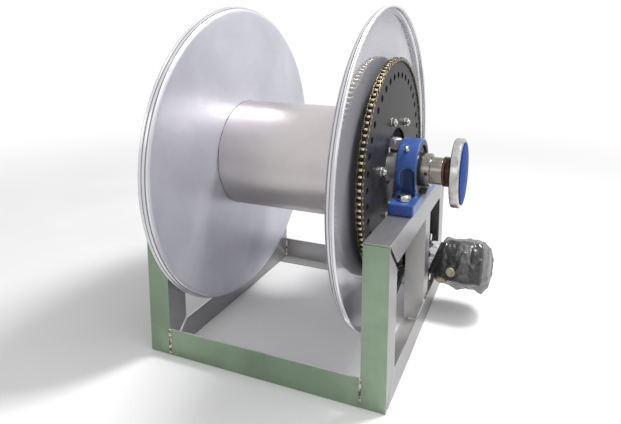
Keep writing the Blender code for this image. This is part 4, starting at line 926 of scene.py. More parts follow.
MAKERS = {
    "disc": lambda: sheet_finish(
        "disc_sheet", tuple(colours().sheet), 420.0, (0.64, 0.64, 0.70), (0.38, 0.46), 0.10, 0.62,
        0.03
    ),
    # Painted highlight: the rim's paler base colour stands in for the bright reflection along the lip;
    # its lower roughness is real gloss.
    "painted_rim": lambda: sheet_finish(
        "rim_sheet_painted_highlight", (0.66, 0.66, 0.69), 420.0, (0.76, 0.76, 0.78), (0.20, 0.28), 0.05, 0.70,
        0.0, rim_shade_lines()
    ),
    "disc_back": lambda: sheet_finish(
        "disc_back_sheet", (0.40, 0.40, 0.445), 420.0, (0.46, 0.46, 0.50), (0.075, 0.10), 0.02, 0.38,
        0.003
    ),
    "drum": lambda: sheet_finish(
        "drum_sheet", tuple(colours().drum), 160.0, (0.60, 0.575, 0.57), (0.28, 0.38), 0.12, 0.9
    ),
    "angle": lambda: angle_finish("frame_angle", tuple(colours().angle)),
    "machined": lambda: machined_finish("machined_steel", tuple(colours().machined)),
    # Painted reflection: a pale pinkish, less metallic steel stands in for the bright reflection along
    # the shaft.
    "shaft": lambda: machined_finish("shaft_steel_painted_reflection", (0.66, 0.62, 0.61), REEL, 0.26, 0.40, 0.6),
    "journal": lambda: machined_finish("journal_steel", (0.25, 0.232, 0.208), REEL, 0.14, 0.28, 0.9),
    "plug_steel": lambda: machined_finish("plug_steel", (0.80, 0.79, 0.79), REEL, 0.24, 0.38, 0.65),
    "motor_steel": lambda: machined_finish("motor_steel", tuple(colours().machined), MOTOR),
    "bearing": lambda: machined_finish("bearing_steel", tuple(colours().bearing), REEL, 0.08, 0.2),
    "plate": plate_finish,
    "chain": chain_finish,
    "chain_edge": chain_edge_finish,
    "chain_side": chain_side_finish,
    "zinc": zinc_finish,
    "casting": casting_finish,
    # Painted shade: a darker copy of the enamel for the back walls of the housings' pockets.
    "casting_painted_shade": lambda: casting_finish("blue_enamel_painted_shade", 0.38),
    "cap": cap_finish,
    "blued": blued_finish,
    "iron": iron_finish,
    "rubber": rubber_finish,
    "plug": plug_finish,
    "nylon": nylon_finish,
    "film": film_finish,
    "bead": bead_finish,
    "dark_weld": lambda: bead_finish("dark_weld_metal", 0.25),
}


# ------------------------------------------------------------ drum and discs


def disc_mesh(name, side):
    """A dished disc with its rim turned outward into a rolled bead, and a light step near it."""
    low, high = span(name, 0)
    inner = high if side < 0 else low
    lip = high - low - 0.003
    radius = half_width(name)
    rim = radius - 0.0015
    hole = 0.0433
    profile = [(0.0, hole), (0.0, 0.10), (0.0, 0.18), (0.0, 0.26), (0.0, radius - 0.030)]
    bend = arc(0.014, 180, -90, 11, (0.014, rim - 0.014))
    profile += bend[:3] + [(bend[3][0] + 0.0004, bend[3][1] - 0.0003)] + bend[4:]
    profile += [(0.0146, rim - 0.0005), (0.0152, rim)]
    profile += arc(0.003, 90, -255, 14, (lip, radius - 0.003))
    profile += arc(0.011, 90, 90, 7, (0.014, rim - 0.014))
    profile += [(SHEET, 0.26), (SHEET, 0.18), (SHEET, 0.10), (SHEET, hole)]
    return turned([(inner + side * x, r) for x, r in profile], sizes().round_steps)


def disc_part(name, side):
    """Tells the rim, whose paler colour is a painted highlight, and the polished outer face from
    the rest of a disc.
    """
    rim = half_width(name) - 0.0075

    def number(face):
        if ring_distance(face) > rim:
            return 2
        return 1 if face.normal.x * side > 0.5 else 0

    return number


class HOSEREEL_OT_discs(bpy.types.Operator):
    """Makes the two dished discs"""

    bl_idname = "hose_reel.discs"
    bl_label = "Discs"

    def execute(self, context):
        for side, name in ((-1, "left_disc"), (1, "right_disc")):
            piece(
                f"{name}_sheet", disc_mesh(name, side), finish_of("disc"), "reel", "satin_stainless",
                name, others=(finish_of("disc_back"), finish_of("painted_rim")),
                where=disc_part(name, side),
            )
        return {"FINISHED"}


def outward(mesh, x, angle, centre=REEL):
    """Stands a mesh made along X on its side, pointing away from an axis at this angle."""
    stand = Matrix.Rotation(math.radians(angle), 4, "X") @ Matrix.Rotation(math.pi / 2, 4, "Z")
    mesh.transform(Matrix.Translation((x, *centre)) @ stand)
    return mesh


class HOSEREEL_OT_drum(bpy.types.Operator):
    """Makes the drum's shell, its hubs, its end welds and the hose outlet"""

    bl_idname = "hose_reel.drum"
    bl_label = "Drum"

    def execute(self, context):
        low, high = span("drum_shell", 0)
        radius = half_width("drum_shell")
        outlet_x = middle("hose_coupling", 0)
        count = 12
        section = [(low + (high - low) * i / count, radius) for i in range(count + 1)]
        section += [(high, radius - SHEET), (low, radius - SHEET)]
        shell = turned(section, sizes().round_steps)
        shell = cut(shell, outward(drill(0.029, 0.09, 0.16, 48), outlet_x, OUTLET_ANGLE))
        piece("drum_sheet", shell, finish_of("drum"), "reel", "satin_stainless", "drum_shell")
        left_weld = ring_bead(low + 0.0005, radius - 0.0004, 0.0009, 3)
        right_weld = ring_bead(high - 0.0005, radius - 0.0004, 0.0009, 8)
        welds = merged([left_weld, right_weld])
        piece("drum_end_welds", welds, finish_of("dark_weld"), "reel", "satin_stainless", angle=60)
        for side, name in ((-1, "left_hub"), (1, "right_hub")):
            hub = hub_mesh(name, side)
            piece(f"{name}_turned", hub, finish_of("machined"), "reel", "machined_steel", name)
        elbow = bent_pipe(outlet_x)
        piece("outlet_elbow_pipe", elbow, finish_of("disc"), "reel", "satin_stainless", "outlet_elbow")
        coupling = outward(coupling_mesh(), outlet_x, OUTLET_ANGLE)
        piece(
            "hose_coupling_turned", coupling, finish_of("blued"), "reel", "heat_blued_steel",
            "hose_coupling",
        )
        return {"FINISHED"}


def hub_mesh(name, side):
    """A hub: a flange against the disc, and a collar through it with a weld round its foot."""
    ends = span(name, 0)
    back, end = (ends[1], ends[0]) if side < 0 else ends
    face = back + side * 0.010
    flange, collar, hole = 0.078, 0.043, 0.0305
    corners = [
        (back, hole), (back, flange), (face, flange), (face, collar, 0.0),
        (end, collar, 0.0012), (end, hole, 0.0005),
    ]
    weld = ring_bead(face + side * 0.0036, 0.0432, 0.0017, 5 + side)
    return merged([lathe(corners, 0.0008, 96), weld])


def coupling_mesh():
    """The hose's coupling along X: a collar, and a tail with seven barbs."""
    seat = 0.1294
    top = seat + 0.026
    shoulder = seat + 0.0078
    profile = [(seat, BORE), (seat, SLEEVE), (shoulder, SLEEVE), (shoulder, PIPE, 0.001)]
    for i in range(7):
        start = seat + 0.0095 + i * 0.0022
        profile += [(start, PIPE, 0.0003), (start + 0.0008, PIPE - 0.0012, 0.0003)]
        profile.append((start + 0.0014, PIPE - 0.0012, 0.0003))
    profile += [(top, PIPE - 0.0006), (top, BORE)]
    return lathe(profile, 0.0010, 64, 2, centre=(0, 0))


def bent_pipe(outlet_x):
    """The pipe from the hollow shaft's inner end, bent square and out to the drum's surface."""
    out = Vector((0, *polar(1.0, math.radians(OUTLET_ANGLE))))
    bend = 0.048
    steps = 48
    start_x = span("outlet_elbow", 0)[1]
    centre = Vector((outlet_x + bend, 0, REEL[1])) + out * bend
    path = [Vector((start_x, 0, REEL[1]))]
    for i in range(17):
        angle = math.pi / 2 * i / 16
        back = Vector((-1, 0, 0)) * math.cos(angle - math.pi / 2)
        path.append(centre + (back - out * math.cos(angle)) * bend)
    path.append(Vector((outlet_x, 0, REEL[1])) + out * 0.129)
    bm = bmesh.new()
    side = Vector((1, 0, 0)).cross(out).normalized()
    walls = []
    for radius in (PIPE, BORE):
        rings = []
        for i, place in enumerate(path):
            ahead = (path[min(i + 1, len(path) - 1)] - path[max(i - 1, 0)]).normalized()
            over = side.cross(ahead).normalized()
            rings.append([
                bm.verts.new(place + (side * math.cos(turn) + over * math.sin(turn)) * radius)
                for turn in [2 * math.pi * k / steps for k in range(steps)]
            ])
        skin(bm, rings, ends=False)
        walls.append(rings)
    for end in (0, -1):
        for k in range(steps):
            j = (k + 1) % steps
            bm.faces.new((walls[0][end][k], walls[0][end][j], walls[1][end][j], walls[1][end][k]))
    return outside_out(bm)


# ------------------------------------------------------------ shafts and inlet


class HOSEREEL_OT_shafts(bpy.types.Operator):
    """Makes the solid left shaft, the hollow right shaft and the plug in it"""

    bl_idname = "hose_reel.shafts"
    bl_label = "Shafts"

    def execute(self, context):
        low, high = span("left_stub_shaft", 0)
        corners = [
            (low + 0.004, 0, 0), (low + 0.0012, 0.003, 0.0005), (low, 0.0042, 0.0005),
            (low, SHAFT, 0.0016), (high, SHAFT, 0.001), (high, 0, 0),
        ]
        stub = lathe(corners, 0.001, 96, closed=False)
        piece("left_shaft", stub, finish_of("shaft"), "reel", "machined_steel", "left_stub_shaft")
        low, high = span("hollow_shaft", 0)
        shoulder = high - 0.019
        groove = SPIGOT - 0.0018
        journal = middle("right_bearing_housing", 0)
        corners = [
            (low, BORE), (low, SHAFT), (journal, SHAFT, 0), (shoulder, SHAFT, 0.0014),
            (shoulder, SPIGOT, 0.0003),
            (high - 0.0117, SPIGOT, 0.0002), (high - 0.0117, groove, 0.0002),
            (high - 0.0073, groove, 0.0002), (high - 0.0073, SPIGOT, 0.0002),
            (high, SPIGOT), (high, BORE),
        ]
        hollow = lathe(corners, 0.0008, 96)
        plug_x = middle("blowdown_plug", 0)
        boss = rod([(0.026, 0), (0.026, 0.0135, 0), (0.0345, 0.0135, 0.0012), (0.0345, 0)], 0.001)
        # Painted reflection: up to the journal the shaft takes the pale steel; the journal takes the
        # darker steel.
        piece(
            "hollow_shaft_turned", merged([hollow, outward(boss, plug_x, 90)]), finish_of("shaft"),
            "reel", "machined_steel", "hollow_shaft", others=(finish_of("journal"),),
            where=lambda face: face.calc_center_median().x > journal,
        )
        head = hexagon(0.0125, 0.0444, 0.0660)
        collar = washer(0.0122, 0.0, 0.0420, 0.0446)
        stem = threaded(0.0089, 0.0260, 0.0425)
        plug = merged([outward(part, plug_x, 90) for part in (head, collar, stem)])
        piece(
            "blowdown_plug_hexagon", plug, finish_of("plug_steel"), "reel", "machined_steel",
            "blowdown_plug",
        )
        seal = outward(tube(0.0134, 0.0093, 0.0348, 0.0417, 0.0024, 40, 5, (0, 0)), plug_x, 90)
        piece("blowdown_seal_ring", seal, finish_of("rubber"), "reel", "black_rubber", "blowdown_seal")
        return {"FINISHED"}


class HOSEREEL_OT_inlet(bpy.types.Operator):
    """Makes the swivel sleeve, its seal, the pipe flange and the flange's cap"""

    bl_idname = "hose_reel.inlet"
    bl_label = "Inlet"

    def execute(self, context):
        sleeve = sleeve_mesh()
        piece(
            "swivel_sleeve_turned", sleeve, finish_of("blued"), "swivel", "heat_blued_steel",
            "swivel_sleeve",
        )
        low, high = span("swivel_seal", 0)
        seal = tube(0.0274, 0.0259, low, high, 0.0006)
        piece("swivel_seal_ring", seal, finish_of("rubber"), "swivel", "black_rubber", "swivel_seal")
        low = span("inlet_flange", 0)[0]
        weld = ring_bead(low - 0.0002, 0.0335, 0.0016, 21)
        piece(
            "inlet_flange_turned", flange_mesh(), finish_of("machined"), "swivel", "machined_steel",
            "inlet_flange",
        )
        piece("inlet_flange_weld", weld, finish_of("bead"), "swivel", "machined_steel", angle=60)
        piece("flange_cap_moulded", cap_mesh(), finish_of("cap"), "cap", "blue_plastic", "flange_cap")
        return {"FINISHED"}


def sleeve_mesh():
    """The swivel sleeve, with a scored line near each end and a lip that holds its seal."""
    low, high = span("swivel_sleeve", 0)
    inside, lip, score = 0.0279, 0.026, SLEEVE - 0.0006
    corners = [
        (low, inside), (low, SLEEVE, 0.0012), (low + 0.0045, SLEEVE, 0.0003),
        (low + 0.0052, score, 0.0003), (low + 0.0060, SLEEVE, 0.0003),
        (high - 0.006, SLEEVE, 0.0003), (high - 0.0052, score, 0.0003),
        (high - 0.0044, SLEEVE, 0.0003), (high, SLEEVE, 0.0010), (high, lip),
        (high - 0.0025, lip), (high - 0.0025, inside),
    ]
    return lathe(corners, 0.0004, 96)


def flange_mesh():
    """The inlet flange with its four bolt holes and the cap's seat turned into its face."""
    low, high = span("inlet_flange", 0)
    edge = 0.0030
    hole = 0.026
    corners = [
        (low, hole), (low, 0.0745, 0.0004), (low + 0.0016, FLANGE, 0.0004),
        (high - edge, FLANGE, 0.0004), (high, FLANGE - edge, 0.0004), (high, CAP, 0.0003),
        (high - 0.0002, CAP - 0.0005, 0.0), (high, hole),
    ]
    flange = lathe(corners, 0.0005, 128)
    tools = []
    for number in range(4):
        place = polar(FLANGE_BOLTS, math.radians(45 + 90 * number), REEL)
        tools.append(drill(0.0095, low - 0.01, high + 0.01, centre=place))
    return cut(flange, merged(tools))


def cap_mesh():
    """The flange's cap: a domed face, a plug ring behind it, and a tab to pull it off by."""
    low, high = span("flange_cap", 0)
    face = low + 0.008
    plug = 0.0257
    wall = plug - 0.0015
    corners = [
        (high, 0, 0), (high - 0.0004, 0.022, 0.012), (high - 0.0019, 0.050, 0.012),
        (high - 0.0030, 0.0655, 0.002), (face + 0.0014, CAP, 0.0009), (face, CAP, 0.0006),
        (face, plug, 0.0005), (low, plug, 0.0006), (low, wall, 0.0005),
        (face + 0.0011, wall, 0.0005), (face + 0.0011, 0, 0),
    ]
    cap = lathe(corners, 0.0008, 128, 4, False)
    tab = plate([filleted([
        (-0.0684, -0.011), (-0.0655, -0.014), (-0.0655, 0.010), (-0.0684, 0.013),
        (-0.0704, 0.007), (-0.0706, -0.004),
    ], 0.002)], face, face + 0.0016, 0.0003)
    moved(tab, (0, 0, REEL[1] + 0.004))
    return merged([cap, tab])


# ------------------------------------------------------------ bearings


def housing_mesh(side, x, direction):
    """The cast pillow block: a ring on a pedestal and a long foot, pockets in its sides, remeshed
    so that every corner has a casting's round. The ring is narrower than the foot outward."""
    half, foot, pedestal, ring_half = 0.027, 0.118, 0.062, 0.0185
    bolt_at, pocket_half = 0.086, 0.015
    base = span(f"{side}_bearing_housing", 2)[0] - REEL[1]
    foot_top = base + 0.0245
    ring = arc(HOUSING_RING, -32, 244, 61)
    right = [(foot, base), (foot, foot_top), (pedestal, foot_top)]
    outline = right + ring + [(-y, z) for y, z in reversed(right)]
    body = plate([outline, circle(HOUSING_BORE, 72)], -half, half, 0.0006)
    tools = []
    for front in (-1, 1):
        pocket = [(-pocket_half, foot_top), (pocket_half, foot_top)]
        pocket += arc(pocket_half, 0, 180, 17)
        bm = bmesh.new()
        rings = [[bm.verts.new((px, y * front, pz)) for px, pz in pocket] for y in (0.0580, 0.14)]
        skin(bm, rings)
        tools.append(outside_out(bm))
        hole = moved(drill(0.009, base - 0.01, 0.0), turn=-90, about="Y")
        tools.append(moved(hole, (0, bolt_at * front, 0)))
    bm = bmesh.new()
    bmesh.ops.create_cube(bm, size=1)
    bmesh.ops.scale(bm, vec=(0.02, 0.16, 0.2), verts=bm.verts)
    shift = (direction * (ring_half + 0.010), 0, foot_top + 0.1)
    bmesh.ops.translate(bm, vec=shift, verts=bm.verts)
    tools.append(mesh_from(bm))
    body = cut(body, *tools)
    obj = scratch(body)
    remesh = obj.modifiers.new("voxels", "REMESH")
    remesh.mode = "VOXEL"
    remesh.voxel_size = sizes().casting_grain
    soft = obj.modifiers.new("soft", "SMOOTH")
    soft.factor = 0.5
    soft.iterations = 5
    body = baked(obj)
    for vert in body.vertices:
        vert.co.x = max(-half, min(half, vert.co.x * 1.004))
        vert.co.y = max(-foot, min(foot, vert.co.y * 1.001))
        vert.co.z = max(base, min(HOUSING_RING, vert.co.z))
        distance = math.hypot(vert.co.y, vert.co.z)
        if distance < HOUSING_BORE + 0.0009:
            push = HOUSING_BORE / distance
            vert.co.y *= push
            vert.co.z *= push
    return moved(body, (x, *REEL))


def housing_part(x, direction):
    """Tells the side pockets, painted darker as shade, and the black edge of the bore from the rest
    of a housing.
    """

    def number(face):
        centre = face.calc_center_median()
        if ring_distance(face) < (0.0645 if face.normal.x * direction > 0.5 else 0.0560):
            return 2
        # Painted shade: the pockets' back walls take the darker enamel.
        pocket = abs(centre.x - x) < 0.0154 and abs(centre.y - REEL[0]) < 0.0600
        return 1 if pocket and abs(face.normal.y) > 0.5 and centre.z < REEL[1] + 0.016 else 0

    return number


def race_meshes(x, direction):
    """The outer race with its two shields, and the inner race, which is longer on its outer side."""
    half = 0.013
    outer_bore, inner_radius = 0.0478, 0.0373
    outer = lathe([
        (-half, outer_bore), (-half, 0.055), (half, 0.055), (half, outer_bore),
        (0.0069, outer_bore, 0.0002), (0.004, 0.0508, 0.001), (-0.004, 0.0508, 0.001),
        (-0.0069, outer_bore, 0.0002),
    ], 0.0006, 96, centre=(0, 0))
    shields = []
    for front in (-1, 1):
        shields.append(lathe([
            (front * half, 0.0480), (front * half, 0.0470, 0.0003),
            (front * (half - 0.0012), 0.0462, 0.0004), (front * (half - 0.0004), 0.0415, 0.0006),
            (front * (half - 0.0008), 0.0384, 0.0003), (front * (half - 0.0012), 0.0384),
            (front * (half - 0.0012), 0.0480),
        ], 0.0002, 96, 2, centre=(0, 0)))
    low, high = sorted((-direction * 0.0254, direction * 0.0397))
    inner = lathe([
        (low, 0.0305), (low, inner_radius), (-0.0069, inner_radius, 0.0002), (-0.004, 0.0342, 0.001),
        (0.004, 0.0342, 0.001), (0.0069, inner_radius, 0.0002), (high, inner_radius), (high, 0.0305),
    ], 0.0007, 96, centre=(0, 0))
    return moved(merged([outer, *shields]), (x, *REEL)), moved(inner, (x, *REEL))


def ball_meshes(x):
    """Nine balls on their cage's ring."""
    balls = bmesh.new()
    for i in range(9):
        place = (x, *polar(BALL_CIRCLE, 2 * math.pi * (i + 0.5) / 9, REEL))
        turn = Matrix.Translation(place)
        bmesh.ops.create_icosphere(balls, subdivisions=3, radius=0.0062, matrix=turn)
    return merged([mesh_from(balls), tube(0.0433, 0.0417, x - 0.0025, x + 0.0025, 0.0003, 64, 2)])


def nipple_mesh():
    """A grease nipple: its hexagon, neck and rounded tip."""
    tip = [
        (0.0715, 0.0038), (0.0745, 0.0038), (0.0755, 0.0026), (0.0772, 0.0026), (0.0786, 0.0040),
        (0.0800, 0.0040), (0.0812, 0.0015), (0.0812, 0),
    ]
    return merged([hexagon(0.0048, 0.0672, 0.0720, domed=False), rod(tip, 0.0003, 24, 2)])


class HOSEREEL_OT_bearings(bpy.types.Operator):
    """Makes both pillow blocks with their races, balls, set screws and grease nipples"""

    bl_idname = "hose_reel.bearings"
    bl_label = "Bearings"

    def execute(self, context):
        for side, direction in (("left", -1), ("right", 1)):
            x = middle(f"{side}_bearing_housing", 0)
            piece(
                f"{side}_housing_casting", housing_mesh(side, x, direction), finish_of("casting"),
                "root", "blue_casting", f"{side}_bearing_housing", angle=50,
                others=(finish_of("casting_painted_shade"), finish_of("iron")),
                where=housing_part(x, direction),
            )
            outer, inner = race_meshes(x, direction)
            screw_x = middle(f"{side}_set_screw", 0)
            inner = cut(inner, outward(drill(0.0042, 0.030, 0.045, 24), screw_x, 180))
            piece(
                f"{side}_outer_ring", outer, finish_of("bearing"), "root", "bearing_steel",
                f"{side}_outer_race", others=(finish_of("iron"),),
                where=lambda face: abs(face.normal.x) > 0.4,
            )
            piece(
                f"{side}_inner_ring", inner, finish_of("journal"), "reel", "bearing_steel",
                f"{side}_inner_race",
            )
            stem = [(0.0305, 0), (0.0305, 0.0039, 0.0004), (0.0368, 0.0039, 0.0004), (0.0368, 0)]
            socket = hexagon(0.002, 0.034, 0.040, domed=False)
            screw = outward(cut(rod(stem, 0.0004, 24, 2), socket), screw_x, 180)
            piece(
                f"{side}_grub_screw", screw, finish_of("iron"), "reel", "black_iron",
                f"{side}_set_screw",
            )
            piece(
                f"{side}_balls", ball_meshes(x), finish_of("bearing"), f"{side}_cage",
                "bearing_steel", f"{side}_ball_cage",
            )
            nipple = outward(nipple_mesh(), x - direction * 0.007, 133)
            piece(f"{side}_grease_nipple", nipple, finish_of("zinc"), "root", "zinc_plated")
        return {"FINISHED"}


# ------------------------------------------------------------ fasteners


BEARING_BOLT = {
    "radius": 0.008, "half": 0.012, "head": 0.010, "beyond": 0.004,
    "washer_radius": 0.015, "washer_height": 0.0025,
}
MOTOR_BOLT = {
    "radius": 0.006, "half": 0.0095, "head": 0.008, "beyond": 0.003,
    "washer_radius": 0.0112, "washer_height": 0.0016,
}


def bolt_mesh(low, high, radius, half, head, beyond, washer_radius, washer_height):
    """A bolt along X with its nut at the low end, its head at the high end and a washer by each.

    Half is half the width of its hexagons, and its thread stands beyond the nut.
    """
    start = low + (beyond + head + washer_height)
    end = high - (head + washer_height)
    nut_face = start - washer_height
    head_face = end + washer_height
    return merged([
        washer(washer_radius, radius, end, head_face),
        hexagon(half, head_face, head_face + head),
        threaded(radius, nut_face - head - beyond, start, 0.0018),
        moved(hexagon(half, 0, head), (nut_face, 0, 0), 180, "Z"),
        washer(washer_radius, radius, nut_face, start),
        threaded(radius * 0.98, start, end, 0.0018),
    ])


def stud_mesh(low, high):
    """A sprocket stud along X: a welded boss on the disc, the stud, and its washer and nut."""
    plate_low, plate_high = span("drum_sprocket", 0)
    top = plate_low - 0.0003
    boss = rod([
        (low, 0), (low, 0.011, 0.0004), (low + 0.0035, 0.011, 0.0008), (top, 0.0098, 0.0006), (top, 0),
    ], 0.0006)
    return merged([
        boss,
        threaded(0.0049, plate_low - 0.001, high, 0.0014),
        washer(0.0105, 0.0050, plate_high, plate_high + 0.0014),
        hexagon(0.0085, plate_high + 0.0014, plate_high + 0.0085),
    ])


class HOSEREEL_OT_fasteners(bpy.types.Operator):
    """Makes the bearing bolts, the motor bolts and the sprocket's studs"""

    bl_idname = "hose_reel.fasteners"
    bl_label = "Fasteners"

    def execute(self, context):
        zinc = finish_of("zinc")
        for side in ("left", "right"):
            for end in ("front", "rear"):
                name = f"{side}_bearing_bolt_{end}"
                mesh = bolt_mesh(*span(name, 2), **BEARING_BOLT)
                moved(mesh, turn=-90, about="Y")
                moved(mesh, turn=14 if end == "front" else 41, about="Z")
                moved(mesh, (middle(name, 0), middle(name, 1), 0))
                piece(f"{name}_turned", mesh, zinc, "root", "zinc_plated", name)
        for end, turn in (("lower", 8), ("upper", 22)):
            name = f"motor_bolt_{end}"
            mesh = bolt_mesh(*span(name, 0), **MOTOR_BOLT)
            moved(mesh, turn=turn)
            moved(mesh, (0, middle(name, 1), middle(name, 2)))
            piece(f"{name}_turned", mesh, zinc, "root", "zinc_plated", name)
        for number in range(1, 7):
            name = f"sprocket_stud_{number}"
            mesh = moved(stud_mesh(*span(name, 0)), turn=17 * number)
            moved(mesh, (0, middle(name, 1), middle(name, 2)))
            piece(f"{name}_turned", mesh, zinc, "reel", "zinc_plated", name)
        return {"FINISHED"}


# ------------------------------------------------------------ sprockets and chain


def pitch_radius(teeth):
    """The radius that the rollers' middles lie on, round a sprocket with this many teeth."""
    return sizes().chain_pitch / (2 * math.sin(math.pi / teeth))


def chain_layout():
    """The chain's way round both sprockets: pitch radii, the heading from one to the other, the
    angle of its straight runs to that, and its stretches in pitches."""
    big, small = pitch_radius(BIG_TEETH), pitch_radius(SMALL_TEETH)
    across = Vector((MOTOR[0] - REEL[0], MOTOR[1] - REEL[1]))
    gap = math.acos((big - small) / across.length)
    wrap_big = (1 - gap / math.pi) * BIG_TEETH
    wrap_small = gap / math.pi * SMALL_TEETH
    return {
        "big": big, "small": small, "across": across, "heading": math.atan2(across.y, across.x),
        "gap": gap, "wrap_big": wrap_big, "wrap_small": wrap_small,
        "run": (LINKS - wrap_big - wrap_small) / 2,
    }


def chain_point(number, way):
    """The (y, z) of roller number on the chain's way."""
    big, small, across, run = way["big"], way["small"], way["across"], way["run"]
    leave, arrive = way["heading"] - way["gap"], way["heading"] + way["gap"]
    leaves_big = way["wrap_big"]
    meets_small = leaves_big + run
    leaves_small = meets_small + way["wrap_small"]
    pitches = number % LINKS
    if pitches <= leaves_big:
        angle = arrive + 2 * math.pi * pitches / BIG_TEETH
        centre, radius = Vector((0, 0)), big
    elif pitches <= meets_small:
        share = (pitches - leaves_big) / run
        angle, centre, radius = leave, across * share, big + (small - big) * share
    elif pitches <= leaves_small:
        angle = leave + 2 * math.pi * (pitches - meets_small) / SMALL_TEETH
        centre, radius = across, small
    else:
        share = 1 - (pitches - leaves_small) / run
        angle, centre, radius = arrive, across * share, big + (small - big) * share
    return Vector(polar(radius, angle, (REEL[0] + centre.x, REEL[1] + centre.y)))


def toothed(teeth, first_roller, centre):
    """A roller sprocket's outline: a round seat at every roller and a rounded tooth between."""
    radius = pitch_radius(teeth)
    seat = sizes().roller_radius + 0.00015
    height = 0.0036 if teeth > 40 else 0.0040
    tooth = ((0.375, 0.45), (0.42, 0.86), (0.465, 1.0), (0.535, 1.0), (0.58, 0.86), (0.625, 0.45))
    outline = []
    step = 360 / teeth
    first = math.degrees(first_roller)
    for i in range(teeth):
        at = first + step * i
        roller = polar(radius, math.radians(at))
        for angle in (-62, -40, -20, 0, 20, 40, 62):
            outline.append(polar(seat, math.radians(at + 180 - angle), roller))
        for share, reach in tooth:
            outline.append(polar(radius + height * reach, math.radians(at + step * share)))
    return [(centre[0] + y, centre[1] + z) for y, z in outline]


class HOSEREEL_OT_sprockets(bpy.types.Operator):
    """Makes the drum's drilled sprocket plate and the motor's sprocket and shaft"""

    bl_idname = "hose_reel.sprockets"
    bl_label = "Sprockets"

    def execute(self, context):
        way = chain_layout()
        low, high = span("drum_sprocket", 0)
        outlines = [toothed(BIG_TEETH, way["heading"] + way["gap"], REEL), circle(0.089, 96, REEL)]
        for i in range(40):
            outlines.append(circle(0.0075, 24, polar(0.2076, 2 * math.pi * i / 40, REEL)))
        disc = plate(outlines, low, high, 0.0007)
        piece(
            "drum_sprocket_plate", disc, finish_of("plate"), "reel", "blackened_plate",
            "drum_sprocket",
        )
        low, high = span("motor_sprocket", 0)
        face = low + 0.0072
        bore = 0.0127
        meets_small = way["wrap_big"] + way["run"]
        to_first = math.ceil(meets_small) - meets_small
        first = way["heading"] - way["gap"] + 2 * math.pi * to_first / SMALL_TEETH
        teeth = plate([toothed(SMALL_TEETH, first, MOTOR), circle(bore, 40, MOTOR)], low, face, 0.0006)
        back = face - 0.0003
        hub = lathe([(back, bore), (back, 0.020, 0), (high, 0.020), (high, bore)], 0.0010, centre=MOTOR)
        piece(
            "motor_sprocket_toothed", merged([teeth, hub]), finish_of("plate"), "motor_rotor",
            "blackened_plate", "motor_sprocket",
        )
        low, high = span("motor_shaft", 0)
        corners = [(low, 0, 0), (low, 0.0125, 0.001), (high, 0.0125, 0.0006), (high, 0, 0)]
        shaft = lathe(corners, 0.001, closed=False, centre=MOTOR)
        piece(
            "motor_shaft_turned", shaft, finish_of("motor_steel"), "motor_rotor", "machined_steel",
            "motor_shaft",
        )
        return {"FINISHED"}


def link_plate(start, end, x_from, x_to, height):
    """One figure-of-eight link plate between two rollers' places."""
    ahead = end - start
    length = ahead.length
    waist = height * 0.36
    outline = arc(height / 2, -90, 180, 7, (length, 0)) + [(length * 0.5, waist)]
    outline += arc(height / 2, 90, 180, 7) + [(length * 0.5, -waist)]
    bm = bmesh.new()
    edge = 0.0003
    rings = []
    for x, inset in ((x_from, edge), (x_from + edge, 0), (x_to - edge, 0), (x_to, edge)):
        ring = []
        for y, z in outline:
            pull = Vector((length / 2 - y, -z))
            pull = pull.normalized() * inset if inset else Vector((0, 0))
            ring.append(bm.verts.new((x, y + pull.x, z + pull.y)))
        rings.append(ring)
    skin(bm, rings)
    turn = math.degrees(math.atan2(ahead.y, ahead.x))
    return moved(moved(outside_out(bm), turn=turn), (0, start.x, start.y))


class HOSEREEL_OT_chain(bpy.types.Operator):
    """Makes the roller chain, link by link, round both sprockets"""

    bl_idname = "hose_reel.chain"
    bl_label = "Chain"

    def execute(self, context):
        way = chain_layout()
        centre = middle("drive_chain", 0)
        thick = sizes().chain_plate
        roller = sizes().roller_radius
        bush = roller - 0.0003
        pin_end = 0.0072
        inner = 0.0039
        outer = inner + thick + 0.0001
        reach = outer + thick + 0.0006
        rolled = [(-0.0038, 0.0022), (-0.0038, bush), (-0.0034, roller), (0.0034, roller),
                  (0.0038, bush), (0.0038, 0.0022)]
        pin = [(-reach, 0), (-reach, 0.0012), (-reach + 0.0005, 0.0018), (reach - 0.0005, 0.0018),
               (reach, 0.0012), (reach, 0)]
        rolled = [(centre + x, radius) for x, radius in rolled]
        pin = [(centre + max(-pin_end, min(pin_end, x)), radius) for x, radius in pin]
        plates, rollers = [], []
        for number in range(LINKS):
            here, there = chain_point(number, way), chain_point(number + 1, way)
            wide = number % 2 == 1
            near = outer if wide else inner
            height = 0.0092 if wide else 0.0100
            for side in (-1, 1):
                ends = sorted((side * near, side * (near + thick)))
                plates.append(link_plate(here, there, centre + ends[0], centre + ends[1], height))
            rollers.append(turned(rolled, 14, True, tuple(here)))
            rollers.append(turned(pin, 10, False, tuple(here)))
        piece(
            "drive_chain_plates", merged(plates), finish_of("chain_edge"), "root", "bronzed_chain",
            "drive_chain", angle=40, others=(finish_of("chain_side"),),
            where=lambda face: abs(face.normal.x) > 0.9,
        )
        piece(
            "drive_chain_rollers", merged(rollers), finish_of("chain"), "root", "bronzed_chain",
            angle=40,
        )
        return {"FINISHED"}


# ------------------------------------------------------------ motor


